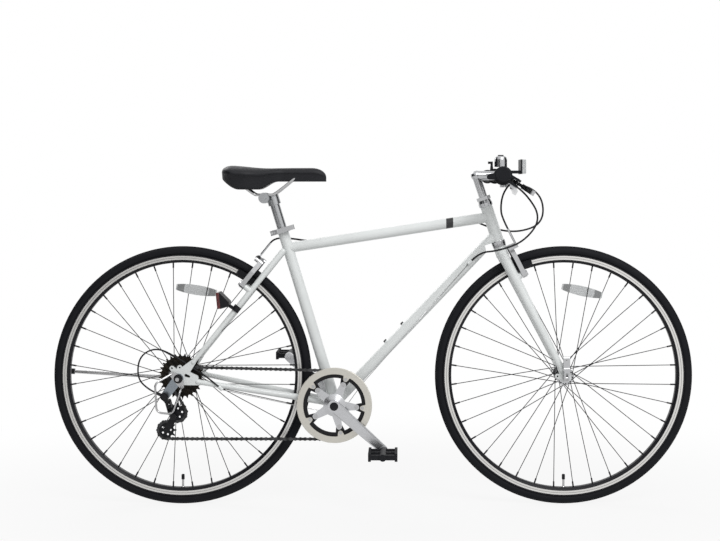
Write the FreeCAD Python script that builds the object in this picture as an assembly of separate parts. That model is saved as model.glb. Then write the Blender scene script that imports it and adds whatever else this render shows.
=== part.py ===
"""Hybrid bicycle as separate named bodies, in millimetres.

+X points forward, +Y to the rider's left and +Z up, so the drive side is -Y.
The tyres stand on z = 0 and the two axles lie at equal distances from x = 0.
"""
import math
import os

import FreeCAD
import Part

os.makedirs("parts", exist_ok=True)
V = FreeCAD.Vector

# Fits between bodies that move on each other.
RUNNING = 0.08
GAP = 0.3

# Wheels: 622 mm bead seat with a tyre 28 mm high.
WHEEL_BASE = 1003.0
BEAD_SEAT = 311.0
TYRE_HEIGHT = 28.0
TYRE_WIDTH = 26.1
TYRE_WALL = 3.0
TYRE_RADIUS = BEAD_SEAT + TYRE_HEIGHT
RIM_RADIUS = 317.5
RIM_INNER = 296.0
RIM_WIDTH = 26.0
RIM_WALL = 2.7
REFLECTOR_AT = 226.0
REFLECTOR_HALF = 54.0
SPOKES_PER_FLANGE = 18
SPOKE_RADIUS = 1.0
SPOKE_CROSSING = 60.0
FLANGE_THICK = 3.0
FRONT_FLANGES = (35.0, -35.0)
FRONT_HOLE_CIRCLE = 19.0
REAR_FLANGES = (35.0, -19.0)
REAR_HOLE_CIRCLE = 22.5
AXLE_RADIUS = 4.9
FRONT_SPACING = 100.0
REAR_SPACING = 135.0
REAR_LEFT_END = 55.0
REAR_RIGHT_END = -62.0
FREEWHEEL_SEAT = 16.0

# Frame angles and lengths.
CHAIN_STAY = 408.0
BB_DROP = 73.0
SEAT_ANGLE = 73.0
SEAT_TUBE_LENGTH = 481.0
HEAD_ANGLE = 71.5
FORK_RAKE = 52.0
MAIN_TUBE_RADIUS = 14.3
TOP_TUBE_RADIUS = 13.5
TUBE_WALL = 1.4
HEAD_TUBE_RADIUS = 16.0
HEAD_TUBE_FOOT = 389.5
HEAD_TUBE_LENGTH = 96.0
BB_SHELL_RADIUS = 20.0
BB_SHELL_WIDTH = 68.0
BB_BORE = 17.4
TOP_TUBE_ON_SEAT = 426.0
TOP_TUBE_ON_HEAD = 456.0
DOWN_TUBE_ON_HEAD = 406.5
DROPOUT_THICK = 5.0
BOSS_ALONG_DOWN_TUBE = (208.0, 272.0)
EYELET_HOLE = 2.55
REAR_EYELETS = ((-17.2, 26.5), (2.8, 28.3))
FORK_EYELET = (-22.0, 3.0)
CABLE_CLIPS = (70.0, 255.0, 440.0)
SHIFT_STOP_ALONG = 514.0

# Fork and headset, measured up the steering axis from the point nearest the front axle.
CROWN_MEET = 347.0
CROWN_TOP = 374.0
STEERER_RADIUS = 12.7
STEERER_BORE = 11.2
HEADSET_RADIUS = 18.5
LOCKNUT_TOP = 512.0
BLADE_TOP_RADIUS = 14.0
BLADE_END_RADIUS = 8.5
BLADE_TOP_Y = 38.0
BLADE_TOP_UP = 338.0
BLADE_END_UP = 22.0

# Stem, handlebar and what it carries.
STEM_HEIGHT = 864.0
QUILL_LENGTH = 141.0
BAR_CENTRE_X = 345.0
BAR_END_X = 320.0
BAR_HALF = 285.0
BAR_STRAIGHT = 35.0
BAR_RADIUS = 11.1
BAR_SLEEVE_RADIUS = 12.7
GRIP_LENGTH = 125.0
GRIP_RADIUS = 16.5
LEVER_FROM_END = 137.0
LEVER_DROP = 32.0
LEVER_PIVOT = (36.0, 8.0)
SHIFTER_FROM = 52.0
SHIFTER_WIDE = 17.0
SHIFTER_CENTRE = (-3.0, 4.0)
SHIFTER_RADIUS = 24.0
SPOUT_REACH = 44.0
BELL_FROM_END = 236.0

# Seat.
POST_RADIUS = 12.7
POST_TOP = 569.0
POST_LENGTH = 300.0
SADDLE_REAR = -395.0
SADDLE_LENGTH = 271.0
SADDLE_HALF = 76.0
NOSE_HALF = 19.0
SADDLE_TOP = 884.0
SADDLE_UNDER = 848.0
SADDLE_SKIRT = 21.0
SADDLE_SECTIONS = 11
CLAMP_AT = (-286.0, 805.0)
RAIL_HEIGHT = 813.2
RAIL_RADIUS = 3.5
RAIL_Y = 22.0

# Drive: half-inch chain, one chainring, seven sprockets.
CHAIN_PITCH = 12.7
ROLLER_RADIUS = 3.85
SEAT_RADIUS = ROLLER_RADIUS + 0.2
TOOTH_TIP = 2.7
TOOTH_LEAN = 62.0
TOOTH_THICK = 1.9
PLATE_THICK = 0.9
CHAINRING_TEETH = 44
SPROCKETS = (14, 16, 18, 20, 22, 24, 28)
SPROCKET_STEP = 5.0
SPROCKET_Y = -57.5
CHAINRING_Y = -44.0
PULLEY_TEETH = 11
BOLT_CIRCLE = 57.0
GUARD_BOLT_CIRCLE = 73.0
CHAINRING_INNER = 71.0
GUARD_INNER = 81.0
GUARD_RADIUS = 98.0
CRANK_LENGTH = 170.0
CRANK_ANGLE = -41.5
CRANK_NEAR = 55.0
CRANK_FAR = 69.0
SPINDLE_RADIUS = 8.5
PEDAL_AXLE = 5.0
PEDAL_NEAR = 76.0
PEDAL_FAR = 172.0

# Rear derailleur.
GUIDE_AT = (-506.0, 248.0)
HANGER_AT = (-536.0, 294.0)
CAGE_LENGTH = 53.0
CAGE_ANGLE = 245.0
CAGE_PIVOT = (-8.0, -7.0)
LINK_REST = 29.0
LINK_APART = 14.0
LINK_PIN = 2.5
LINK_LOW = 3.6
LINK_HIGH = 6.3
ROOT_OFF = 17.0
TIP_OFF = 13.5
GUARD_OUT = 24.0
GUARD_PLATE = 2.0
HANGER_PLATE = 4.0
KNUCKLE_Y = 80.0
CAGE_FAR = 6.0
SPOUT_Y = 84.0

# Linear-pull brakes, measured from the axle up the blade or stay.
BRAKE_PIVOT_UP = 288.0
BRAKE_PIVOT_Y = 40.0
BRAKE_PIN_RADIUS = 5.0
PAD_CLEAR = 1.6
ARM_NEAR = 20.0
ARM_FAR = 32.0
NOODLE_TOP = 412.0
NOODLE_TURN = 362.0
NOODLE_AHEAD = 42.0
NOODLE_RADIUS = 3.0

CABLE_RADIUS = 2.4
KICKSTAND_SPLAY = 12.0
KICK_PLATE = 4.5


def unit(v):
    """The vector with length one."""
    out = V(v)
    out.normalize()
    return out


class Axes:
    """Right-handed local axes with their own origin; x is kept, z is squared to it."""

    def __init__(self, origin, x, z):
        self.origin = V(origin)
        self.x = unit(x)
        self.z = unit(z - self.x * self.x.dot(z))
        self.y = self.z.cross(self.x)

    def at(self, a, b, c):
        """World point of local coordinates."""
        return self.origin + self.x * a + self.y * b + self.z * c

    def put(self, shape):
        """The shape moved from local axes to the world."""
        o, x, y, z = self.origin, self.x, self.y, self.z
        turn = FreeCAD.Matrix(x.x, y.x, z.x, o.x, x.y, y.y, z.y, o.y, x.z, y.z, z.z, o.z, 0, 0, 0, 1)
        out = shape.copy()
        out.Placement = FreeCAD.Placement(turn).multiply(out.Placement)
        return out


def one(shape):
    """The only solid of a shape."""
    if len(shape.Solids) != 1:
        raise ValueError("expected one solid, got %d" % len(shape.Solids))
    return shape.Solids[0]


def joined(shapes):
    """One solid fused from touching shapes."""
    if len(shapes) == 1:
        return one(shapes[0])
    return one(shapes[0].multiFuse(list(shapes[1:])).removeSplitter())


def less(shape, tools):
    """The shape with the tools cut away."""
    tool = tools[0] if len(tools) == 1 else tools[0].multiFuse(list(tools[1:]))
    return one(shape.cut(tool))


def rod(a, b, r, r_end=None):
    """Round bar from point a to point b, a cone where the end radius differs."""
    d = b - a
    if r_end is None or abs(r_end - r) < 1e-6:
        return Part.makeCylinder(r, d.Length, a, d)
    return Part.makeCone(r, r_end, d.Length, a, d)


def stretched(a, b, more):
    """Point beyond b on the line from a."""
    return b + unit(b - a) * more


def ring(a, b, outer, inner):
    """Hollow round bar."""
    return less(rod(a, b, outer), [rod(stretched(b, a, 1), stretched(a, b, 1), inner)])


def ball(at, r):
    """Sphere."""
    return Part.makeSphere(r, at)


def box(x0, x1, y0, y1, z0, z1):
    """Block between two corners."""
    return Part.makeBox(x1 - x0, y1 - y0, z1 - z0, V(x0, y0, z0))


def bar_face(ax, ay, ar, bx, by, br):
    """Face around two circles and their outer tangents, in the local XY plane."""
    base = math.atan2(by - ay, bx - ax)
    lean = math.acos((ar - br) / math.hypot(bx - ax, by - ay))

    def on(cx, cy, r, turn):
        return V(cx + r * math.cos(turn), cy + r * math.sin(turn), 0)

    a_up, a_low = on(ax, ay, ar, base + lean), on(ax, ay, ar, base - lean)
    b_up, b_low = on(bx, by, br, base + lean), on(bx, by, br, base - lean)
    edges = [
        Part.LineSegment(a_up, b_up),
        Part.Arc(b_up, on(bx, by, br, base), b_low),
        Part.LineSegment(b_low, a_low),
        Part.Arc(a_low, on(ax, ay, ar, base + math.pi), a_up),
    ]
    return Part.Face(Part.Wire([e.toShape() for e in edges]))


def bar(start, end, z0, z1):
    """Tapered bar in local axes; start and end are (x, y, radius)."""
    solid = bar_face(*start, *end).extrude(V(0, 0, z1 - z0))
    solid.translate(V(0, 0, z0))
    return solid


def disc(x, y, r, z0, z1):
    """Round plate in local axes."""
    return Part.makeCylinder(r, z1 - z0, V(x, y, z0))


def hexagon(r, z0, z1):
    """Six-sided nut or bolt head around local z."""
    corners = [V(r * math.cos(k * math.pi / 3), r * math.sin(k * math.pi / 3), z0) for k in range(7)]
    return Part.Face(Part.makePolygon(corners)).extrude(V(0, 0, z1 - z0))


def picture(x, z, y=0.0):
    """Axes of the drive-side view: x forward, y up, z towards -Y."""
    return Axes(V(x, y, z), V(1, 0, 0), V(0, -1, 0))


def crosswise(axes, shape_maker, y0, y1):
    """Plate made in the drive-side view between two world y values."""
    return axes.put(shape_maker(min(-y0, -y1), max(-y0, -y1)))


def run_edges(points, bend):
    """Straight runs through the points, with a tangent arc of the given radius at each corner."""
    edges = []
    here = points[0]
    for k in range(1, len(points) - 1):
        into = unit(points[k] - points[k - 1])
        out = unit(points[k + 1] - points[k])
        turn = into.getAngle(out)
        reach = bend * math.tan(turn / 2)
        first = points[k] - into * reach
        last = points[k] + out * reach
        middle = points[k] + unit(out - into) * (bend / math.cos(turn / 2) - bend)
        edges.append(Part.LineSegment(here, first).toShape())
        edges.append(Part.Arc(first, middle, last).toShape())
        here = last
    edges.append(Part.LineSegment(here, points[-1]).toShape())
    return edges


def cable(points, bend, r):
    """Round cord along straight runs and tangent arcs."""
    path = Part.Wire(run_edges(points, bend))
    round_end = Part.Wire(Part.makeCircle(r, points[0], points[1] - points[0]))
    solid = one(path.makePipeShell([round_end], True, True))
    drift = abs(solid.Volume / (math.pi * r * r * path.Length) - 1)
    print("cord radius %.1f length %.0f bend %.0f volume drift %.5f" % (r, path.Length, bend, drift))
    return solid


def turned(profile, axes):
    """Solid of revolution; the profile holds (radius, along) pairs and turns about local z."""
    corners = [V(r, 0, along) for r, along in profile]
    face = Part.Face(Part.makePolygon(corners + corners[:1]))
    return axes.put(one(face.revolve(V(0, 0, 0), V(0, 0, 1), 360)))


def mirrored(shape):
    """The same piece on the other side of the mid-plane."""
    return one(shape.mirror(V(0, 0, 0), V(0, 1, 0)))


def save(node, *solids):
    """Write one node; several solids stay separate."""
    shape = solids[0] if len(solids) == 1 else Part.makeCompound(list(solids))
    for solid in solids:
        if not solid.isValid() or solid.Volume <= 0:
            raise ValueError("bad solid in " + node)
    shape.exportStep("parts/%s.step" % node)


# Shared points.
REAR = V(-WHEEL_BASE / 2, 0, TYRE_RADIUS)
FRONT = V(WHEEL_BASE / 2, 0, TYRE_RADIUS)
BB = REAR + V(math.sqrt(CHAIN_STAY ** 2 - BB_DROP ** 2), 0, -BB_DROP)
SEAT_DIR = V(-math.cos(math.radians(SEAT_ANGLE)), 0, math.sin(math.radians(SEAT_ANGLE)))
STEER_DIR = V(-math.cos(math.radians(HEAD_ANGLE)), 0, math.sin(math.radians(HEAD_ANGLE)))
STEER_AHEAD = V(STEER_DIR.z, 0, -STEER_DIR.x)
STEER = Axes(FRONT - STEER_AHEAD * FORK_RAKE, STEER_AHEAD, STEER_DIR)
HEAD_TUBE_TOP = HEAD_TUBE_FOOT + HEAD_TUBE_LENGTH
SEAT_TOP = BB + SEAT_DIR * SEAT_TUBE_LENGTH
TOP_REAR = BB + SEAT_DIR * TOP_TUBE_ON_SEAT
TOP_FRONT = STEER.at(0, 0, TOP_TUBE_ON_HEAD)
TOP_DIR = unit(TOP_FRONT - TOP_REAR)
DOWN_FRONT = STEER.at(0, 0, DOWN_TUBE_ON_HEAD)
DOWN_DIR = unit(DOWN_FRONT - BB)
DOWN_UP = V(-DOWN_DIR.z, 0, DOWN_DIR.x)
CROWN = STEER.at(0, 0, CROWN_MEET)
FORK_UP = unit(CROWN - FRONT)
FORK = Axes(FRONT, V(0, 1, 0).cross(FORK_UP), FORK_UP)
DROPOUT_NEAR = REAR_SPACING / 2
DROPOUT_FAR = DROPOUT_NEAR + DROPOUT_THICK
STAY_TOP = V(-237.0, 21.5, 665.0)
STAY_FOOT = V(-464.0, DROPOUT_NEAR + 2.5, 381.0)
STAY_UP = unit(V(STAY_TOP.x - REAR.x, 0, STAY_TOP.z - REAR.z))
STAY = Axes(REAR, V(0, -1, 0).cross(STAY_UP), STAY_UP)
FORK_END_Y = FRONT_SPACING / 2 + 3.0
BAR_CENTRE = V(BAR_CENTRE_X, 0, STEM_HEIGHT)
BAR_END = V(BAR_END_X, -BAR_HALF, STEM_HEIGHT)
BAR_KNEE = V(BAR_CENTRE_X, -BAR_STRAIGHT, STEM_HEIGHT)
BAR_DIR = unit(BAR_KNEE - BAR_END)
SHIFT_STOP = BB + DOWN_DIR * SHIFT_STOP_ALONG + V(0, -MAIN_TUBE_RADIUS - CABLE_RADIUS - 0.6, 0)
CHAIN_STOP = V(-396.0, -70.5, 316.0)
CHAIN_STOP_DIR = unit(V(-34.0, -1.5, 29.0))
SPOUT_DIR = unit(V(-18, 0, 8))
SPOUT_END = V(HANGER_AT[0] - 22, -SPOUT_Y, HANGER_AT[1] + 10)


def frame_tubes():
    """Main tubes, mitred where they meet, each its own solid of the welded frame."""
    half = V(0, BB_SHELL_WIDTH / 2, 0)
    shell_block = rod(BB - half, BB + half, BB_SHELL_RADIUS)
    shell = ring(BB - half, BB + half, BB_SHELL_RADIUS, BB_BORE)
    head_block = rod(STEER.at(0, 0, HEAD_TUBE_FOOT), STEER.at(0, 0, HEAD_TUBE_TOP), HEAD_TUBE_RADIUS)
    head_bore = rod(STEER.at(0, 0, HEAD_TUBE_FOOT - 1), STEER.at(0, 0, HEAD_TUBE_TOP + 1),
                    STEERER_RADIUS + 2)
    head = less(head_block, [head_bore])
    seat_block = rod(BB, SEAT_TOP, MAIN_TUBE_RADIUS)
    seat_bore = rod(BB, stretched(BB, SEAT_TOP, 1), POST_RADIUS + RUNNING)
    seat = less(seat_block, [seat_bore, shell_block])

    down_block = rod(BB, DOWN_FRONT, MAIN_TUBE_RADIUS)
    down_bore = rod(BB, DOWN_FRONT, MAIN_TUBE_RADIUS - TUBE_WALL)
    bosses = []
    threads = []
    for along in BOSS_ALONG_DOWN_TUBE:
        foot = BB + DOWN_DIR * along + DOWN_UP * (MAIN_TUBE_RADIUS - TUBE_WALL)
        bosses.append(rod(foot, foot + DOWN_UP * (TUBE_WALL + 2), 5.5))
        threads.append(rod(foot - DOWN_UP * 2, foot + DOWN_UP * 8, EYELET_HOLE))
    stop = rod(SHIFT_STOP - DOWN_DIR * 8, SHIFT_STOP + DOWN_DIR * 5, 4.2)
    stop_bore = rod(SHIFT_STOP - DOWN_DIR * 20, SHIFT_STOP + DOWN_DIR * 20, CABLE_RADIUS + 0.2)
    under_head = rod(STEER.at(0, 0, HEAD_TUBE_FOOT - 40), STEER.at(0, 0, HEAD_TUBE_FOOT), 40)
    down_hollow = less(down_block, [down_bore, shell_block, head_block, seat_block, under_head])
    down = less(joined([down_hollow] + bosses), threads)
    down = less(joined([down, less(stop, [down_block])]), [stop_bore])

    top_block = rod(TOP_REAR, TOP_FRONT, TOP_TUBE_RADIUS)
    top_bore = rod(TOP_REAR, TOP_FRONT, TOP_TUBE_RADIUS - TUBE_WALL)
    top = less(top_block, [top_bore, head_block, seat_block])
    loops = []
    for along in CABLE_CLIPS:
        mid = brake_run(along)
        loops.append(less(ring(mid - TOP_DIR * 5, mid + TOP_DIR * 5, CABLE_RADIUS + 1.6,
                               CABLE_RADIUS + 0.15),
                          [top_block]))
    save("main_frame", head, top, down, seat, shell, *loops)


def brake_run(along):
    """Centre of the rear brake cable on the upper left of the top tube."""
    lift = math.radians(30)
    off = TOP_TUBE_RADIUS + CABLE_RADIUS + 0.6
    rise = V(-TOP_DIR.z, 0, TOP_DIR.x) * (off * math.sin(lift))
    return TOP_REAR + TOP_DIR * along + rise + V(0, off * math.cos(lift), 0)


def rear_stays():
    """Chain stays, seat stays, bridges and dropouts; the brake bosses stand on the seat stays."""
    seat_block = rod(BB, SEAT_TOP, MAIN_TUBE_RADIUS)
    half = V(0, BB_SHELL_WIDTH / 2, 0)
    shell_block = rod(BB - half, BB + half, BB_SHELL_RADIUS)
    rise = BB_DROP / (BB.x - REAR.x)

    def on_chain_line(x, y):
        return V(x, y, BB.z + (BB.x - x) * rise)

    knee = on_chain_line(-215, 27.0)
    tail = on_chain_line(-452, DROPOUT_NEAR + 2.5)
    chain_stay = joined([
        rod(on_chain_line(BB.x, 20.5), knee, 8.5),
        ball(knee, 8.5),
        rod(knee, tail, 8.5, 6.5),
        ball(tail, 6.5),
    ])
    drop = dropout()
    plate = mirrored(drop)
    chain_stay = less(chain_stay, [shell_block, seat_block, plate])
    stop = rod(CHAIN_STOP - CHAIN_STOP_DIR * 9.5, CHAIN_STOP + CHAIN_STOP_DIR * 3, 4.6)
    right_chain = mirrored(chain_stay)
    socket = rod(CHAIN_STOP - CHAIN_STOP_DIR * 0.1, CHAIN_STOP + CHAIN_STOP_DIR * 9, CABLE_RADIUS)
    right_chain = less(joined([right_chain, less(stop, [right_chain])]), [socket])

    boss_at = STAY.at(0, -BRAKE_PIVOT_Y, BRAKE_PIVOT_UP)
    seat_stay = joined([
        rod(STAY_TOP, STAY_FOOT, 8.0, 6.0),
        ball(STAY_TOP, 8.0),
        ball(STAY_FOOT, 6.0),
        rod(boss_at, boss_at + STAY.x * (ARM_NEAR - 2), 7.5),
        rod(boss_at, boss_at + STAY.x * (ARM_FAR - 0.5), BRAKE_PIN_RADIUS),
    ])
    seat_stay = less(seat_stay, [seat_block, plate])
    bridge_mid = STAY_TOP + (STAY_FOOT - STAY_TOP) * 0.17
    bridge_end = V(bridge_mid.x, -bridge_mid.y, bridge_mid.z)
    bridge = less(rod(bridge_end, bridge_mid, 6.0), [seat_stay, mirrored(seat_stay)])
    low = on_chain_line(-140, 0)
    low_bridge = less(rod(low - V(0, 22, 0), low + V(0, 22, 0), 6.0), [chain_stay, mirrored(chain_stay)])
    save("rear_triangle", chain_stay, right_chain, seat_stay, mirrored(seat_stay), bridge, low_bridge,
         plate, drop)


def dropout():
    """Right rear dropout plate with its axle slot, window and two eyelets."""
    here = picture(REAR.x, REAR.z)
    y0, y1 = -DROPOUT_NEAR, -DROPOUT_FAR
    stay = (STAY_FOOT.x - REAR.x, STAY_FOOT.z - REAR.z)
    parts = [
        crosswise(here, lambda a, b: bar((0, 0, 17), (50, -9.5, 8), a, b), y0, y1),
        crosswise(here, lambda a, b: bar((4, 6, 16), (stay[0], stay[1], 7), a, b), y0, y1),
        crosswise(here, lambda a, b: bar((18, 12, 9), (44, 2, 7), a, b), y0, y1),
    ]
    holes = []
    for x, z in REAR_EYELETS:
        parts.append(crosswise(here, lambda a, b, x=x, z=z: bar((0, 8, 10), (x, z, 6), a, b), y0, y1))
        holes.append(crosswise(here, lambda a, b, x=x, z=z: disc(x, z, EYELET_HOLE, a - 1, b + 1), y0, y1))
    slot = crosswise(here, lambda a, b: bar((0, 0, AXLE_RADIUS + 0.15), (-6, -40, AXLE_RADIUS + 0.15),
                                            a - 1, b + 1),
                     y0, y1)
    window = crosswise(here, lambda a, b: bar((19, 8, 4), (27, 5, 3), a - 1, b + 1), y0, y1)
    return less(joined(parts), holes + [slot, window])


def frame_fittings():
    """Headset cups, bottom bracket cups and the two bottle bolts."""
    bore = STEERER_RADIUS + RUNNING
    upper = turned([(bore, HEAD_TUBE_TOP), (HEADSET_RADIUS - 1, HEAD_TUBE_TOP),
                    (HEADSET_RADIUS, HEAD_TUBE_TOP + 2),
                    (HEADSET_RADIUS, HEAD_TUBE_TOP + 10), (bore, HEAD_TUBE_TOP + 10)], STEER)
    lower = turned([(bore, HEAD_TUBE_FOOT), (HEADSET_RADIUS - 1, HEAD_TUBE_FOOT),
                    (HEADSET_RADIUS, HEAD_TUBE_FOOT - 2), (HEADSET_RADIUS, HEAD_TUBE_FOOT - 9),
                    (bore, HEAD_TUBE_FOOT - 9)], STEER)
    end = BB_SHELL_WIDTH / 2
    cup = turned([(SPINDLE_RADIUS + RUNNING, end - 14), (BB_BORE - 0.1, end - 14), (BB_BORE - 0.1, end),
                  (BB_SHELL_RADIUS - 1.5, end), (BB_SHELL_RADIUS - 1.5,
                                                 end + 4), (SPINDLE_RADIUS + RUNNING, end + 4)],
                 picture(BB.x, BB.z))
    bolts = []
    for along in BOSS_ALONG_DOWN_TUBE:
        top = BB + DOWN_DIR * along + DOWN_UP * (MAIN_TUBE_RADIUS + 2)
        bolts.append(joined([rod(top - DOWN_UP * 5, top, EYELET_HOLE - 0.1),
                             rod(top, top + DOWN_UP * 3.5, 4.6)]))
    save("frame_fittings", upper, lower, cup, mirrored(cup), *bolts)


def seat_clamp():
    """Collar on the seat tube with its cross bolt, and the closed quick-release lever."""
    at = Axes(SEAT_TOP - SEAT_DIR * 6, V(SEAT_DIR.z, 0, -SEAT_DIR.x), SEAT_DIR)
    collar = Part.makeCylinder(18.5, 13, V(0, 0, -7))
    ears = box(-32, -12, -9, 9, -6.5, 5.5)
    bolt = Part.makeCylinder(3.5, 41, V(-26, -16, 0), V(0, 1, 0))
    nut = Part.makeCylinder(7, 8, V(-26, 11, 0), V(0, 1, 0))
    knob = Part.makeCylinder(6, 6, V(-26, -16, 0), V(0, 1, 0))
    bore = Part.makeCylinder(MAIN_TUBE_RADIUS + 0.1, 30, V(0, 0, -15))
    slit = box(-40, -13, -1.2, 1.2, -10, 10)
    clamp = less(joined([collar, ears]), [bore, slit])
    clamp = joined([clamp, bolt, nut, knob])
    pin = Part.makeCylinder(2.5, 12.6, V(-26, -22, -6.3))
    clamp = joined([clamp, pin, box(-28.4, -23.6, -24.5, -15, -2.8, 2.8)])
    save("seat_clamp", at.put(clamp))
    fork_end = bar((-26, -22, 5.5), (-12, -24, 4.5), -6.3, 6.3)
    blade = bar((-13, -24, 4.2), (31, -26, 3.2), -6.3, 6.3)
    mouth = box(-33, -19, -33, -15, -3.1, 3.1)
    hole = Part.makeCylinder(2.5 + RUNNING, 30, V(-26, -22, -15))
    lever = less(joined([fork_end, blade]), [mouth, hole])
    save("seat_clamp_lever", at.put(lever))
    return {"seat_lever_at": at.at(-26, -22, 0), "seat_lever_axis": at.z * -1}


def seat():
    """Seat post with its rail clamp, and the saddle cushion on two rails."""
    foot = BB + SEAT_DIR * (POST_TOP - POST_LENGTH)
    top = BB + SEAT_DIR * POST_TOP
    post = ring(foot, top, POST_RADIUS, POST_RADIUS - 2)
    collar = rod(BB + SEAT_DIR * (POST_TOP - 24), BB + SEAT_DIR * (POST_TOP + 2), POST_RADIUS + 4)
    clamp_at = V(CLAMP_AT[0], 0, CLAMP_AT[1])
    here = picture(clamp_at.x, clamp_at.z)
    block = crosswise(here, lambda a, b: bar((0, 0, 12), (22, -1, 11), a, b), -11, 11)
    near = RAIL_Y - RAIL_RADIUS - GAP
    far = RAIL_Y + RAIL_RADIUS + GAP
    cheeks = []
    for side in (1, -1):
        cheeks.append(rod(clamp_at + V(0, side * 10, 0), clamp_at + V(0, side * near, 0), 14))
        cheeks.append(rod(clamp_at + V(0, side * far, 0), clamp_at + V(0, side * (far + 4), 0), 14))
        nut = Axes(clamp_at + V(0, side * (far + 3), 0), V(1, 0, 0), V(0, side, 0)).put(hexagon(7, 0, 6))
        cheeks.append(nut)
    bolt = rod(clamp_at - V(0, 30, 0), clamp_at + V(0, 30, 0), 4)
    save("seat_post", joined([post, collar, block, bolt] + cheeks))

    rails = []
    pockets = []
    for side in (1, -1):
        path = [V(-352, side * 34, 846), V(-313, side * RAIL_Y, RAIL_HEIGHT),
                V(-258, side * RAIL_Y, RAIL_HEIGHT),
                V(-200, side * 11, 862)]
        rails.append(cable(path, 16, RAIL_RADIUS))
        path[0] = stretched(path[1], path[0], 0.8)
        path[3] = stretched(path[2], path[3], 0.8)
        pockets.append(cable(path, 16, RAIL_RADIUS + 0.2))
    cushion = less(saddle_cushion(), pockets)
    save("saddle", cushion, *rails)


def eased(t):
    """Smooth rise from 0 to 1."""
    t = min(max(t, 0.0), 1.0)
    return t * t * (3 - 2 * t)


def saddle_section(t):
    """Half width, crown and underside of the cushion at a share of its length from tail to nose."""
    tail = math.sqrt(1 - (1 - min(t / 0.14, 1)) ** 2)
    nose = math.sqrt(1 - max((t - 0.86) / 0.14, 0) ** 2)
    half = SADDLE_HALF - (SADDLE_HALF - NOSE_HALF) * eased((t - 0.2) / 0.4)
    half *= (0.35 + 0.65 * tail) * (0.4 + 0.6 * nose)
    crown = SADDLE_TOP + 7 * (1 - eased((t - 0.08) / 0.4)) - 14 * (1 - tail) - 24 * (1 - nose)
    skirt = 1 - eased((abs(t - 0.27) - 0.06) / 0.2)
    return half, crown, SADDLE_UNDER - SADDLE_SKIRT * skirt + 10 * (1 - tail)


def saddle_cushion():
    """Crowned cushion with drawn-in sides, lofted through cross-sections from tail to nose."""
    wires = []
    for k in range(SADDLE_SECTIONS + 1):
        share = (1 - math.cos(math.pi * k / SADDLE_SECTIONS)) / 2
        half, top, low = saddle_section(share)
        x = SADDLE_REAR + SADDLE_LENGTH * share
        edge = top - (top - low) * 0.38
        left, right = V(x, half, edge), V(x, -half, edge)
        low_left, low_right = V(x, half * 0.74, low), V(x, -half * 0.74, low)
        edges = [
            Part.Arc(left, V(x, 0, top), right),
            Part.LineSegment(right, low_right),
            Part.LineSegment(low_right, low_left),
            Part.LineSegment(low_left, left),
        ]
        wires.append(Part.Wire([e.toShape() for e in edges]))
    return one(Part.makeLoft(wires, True, False))


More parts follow.
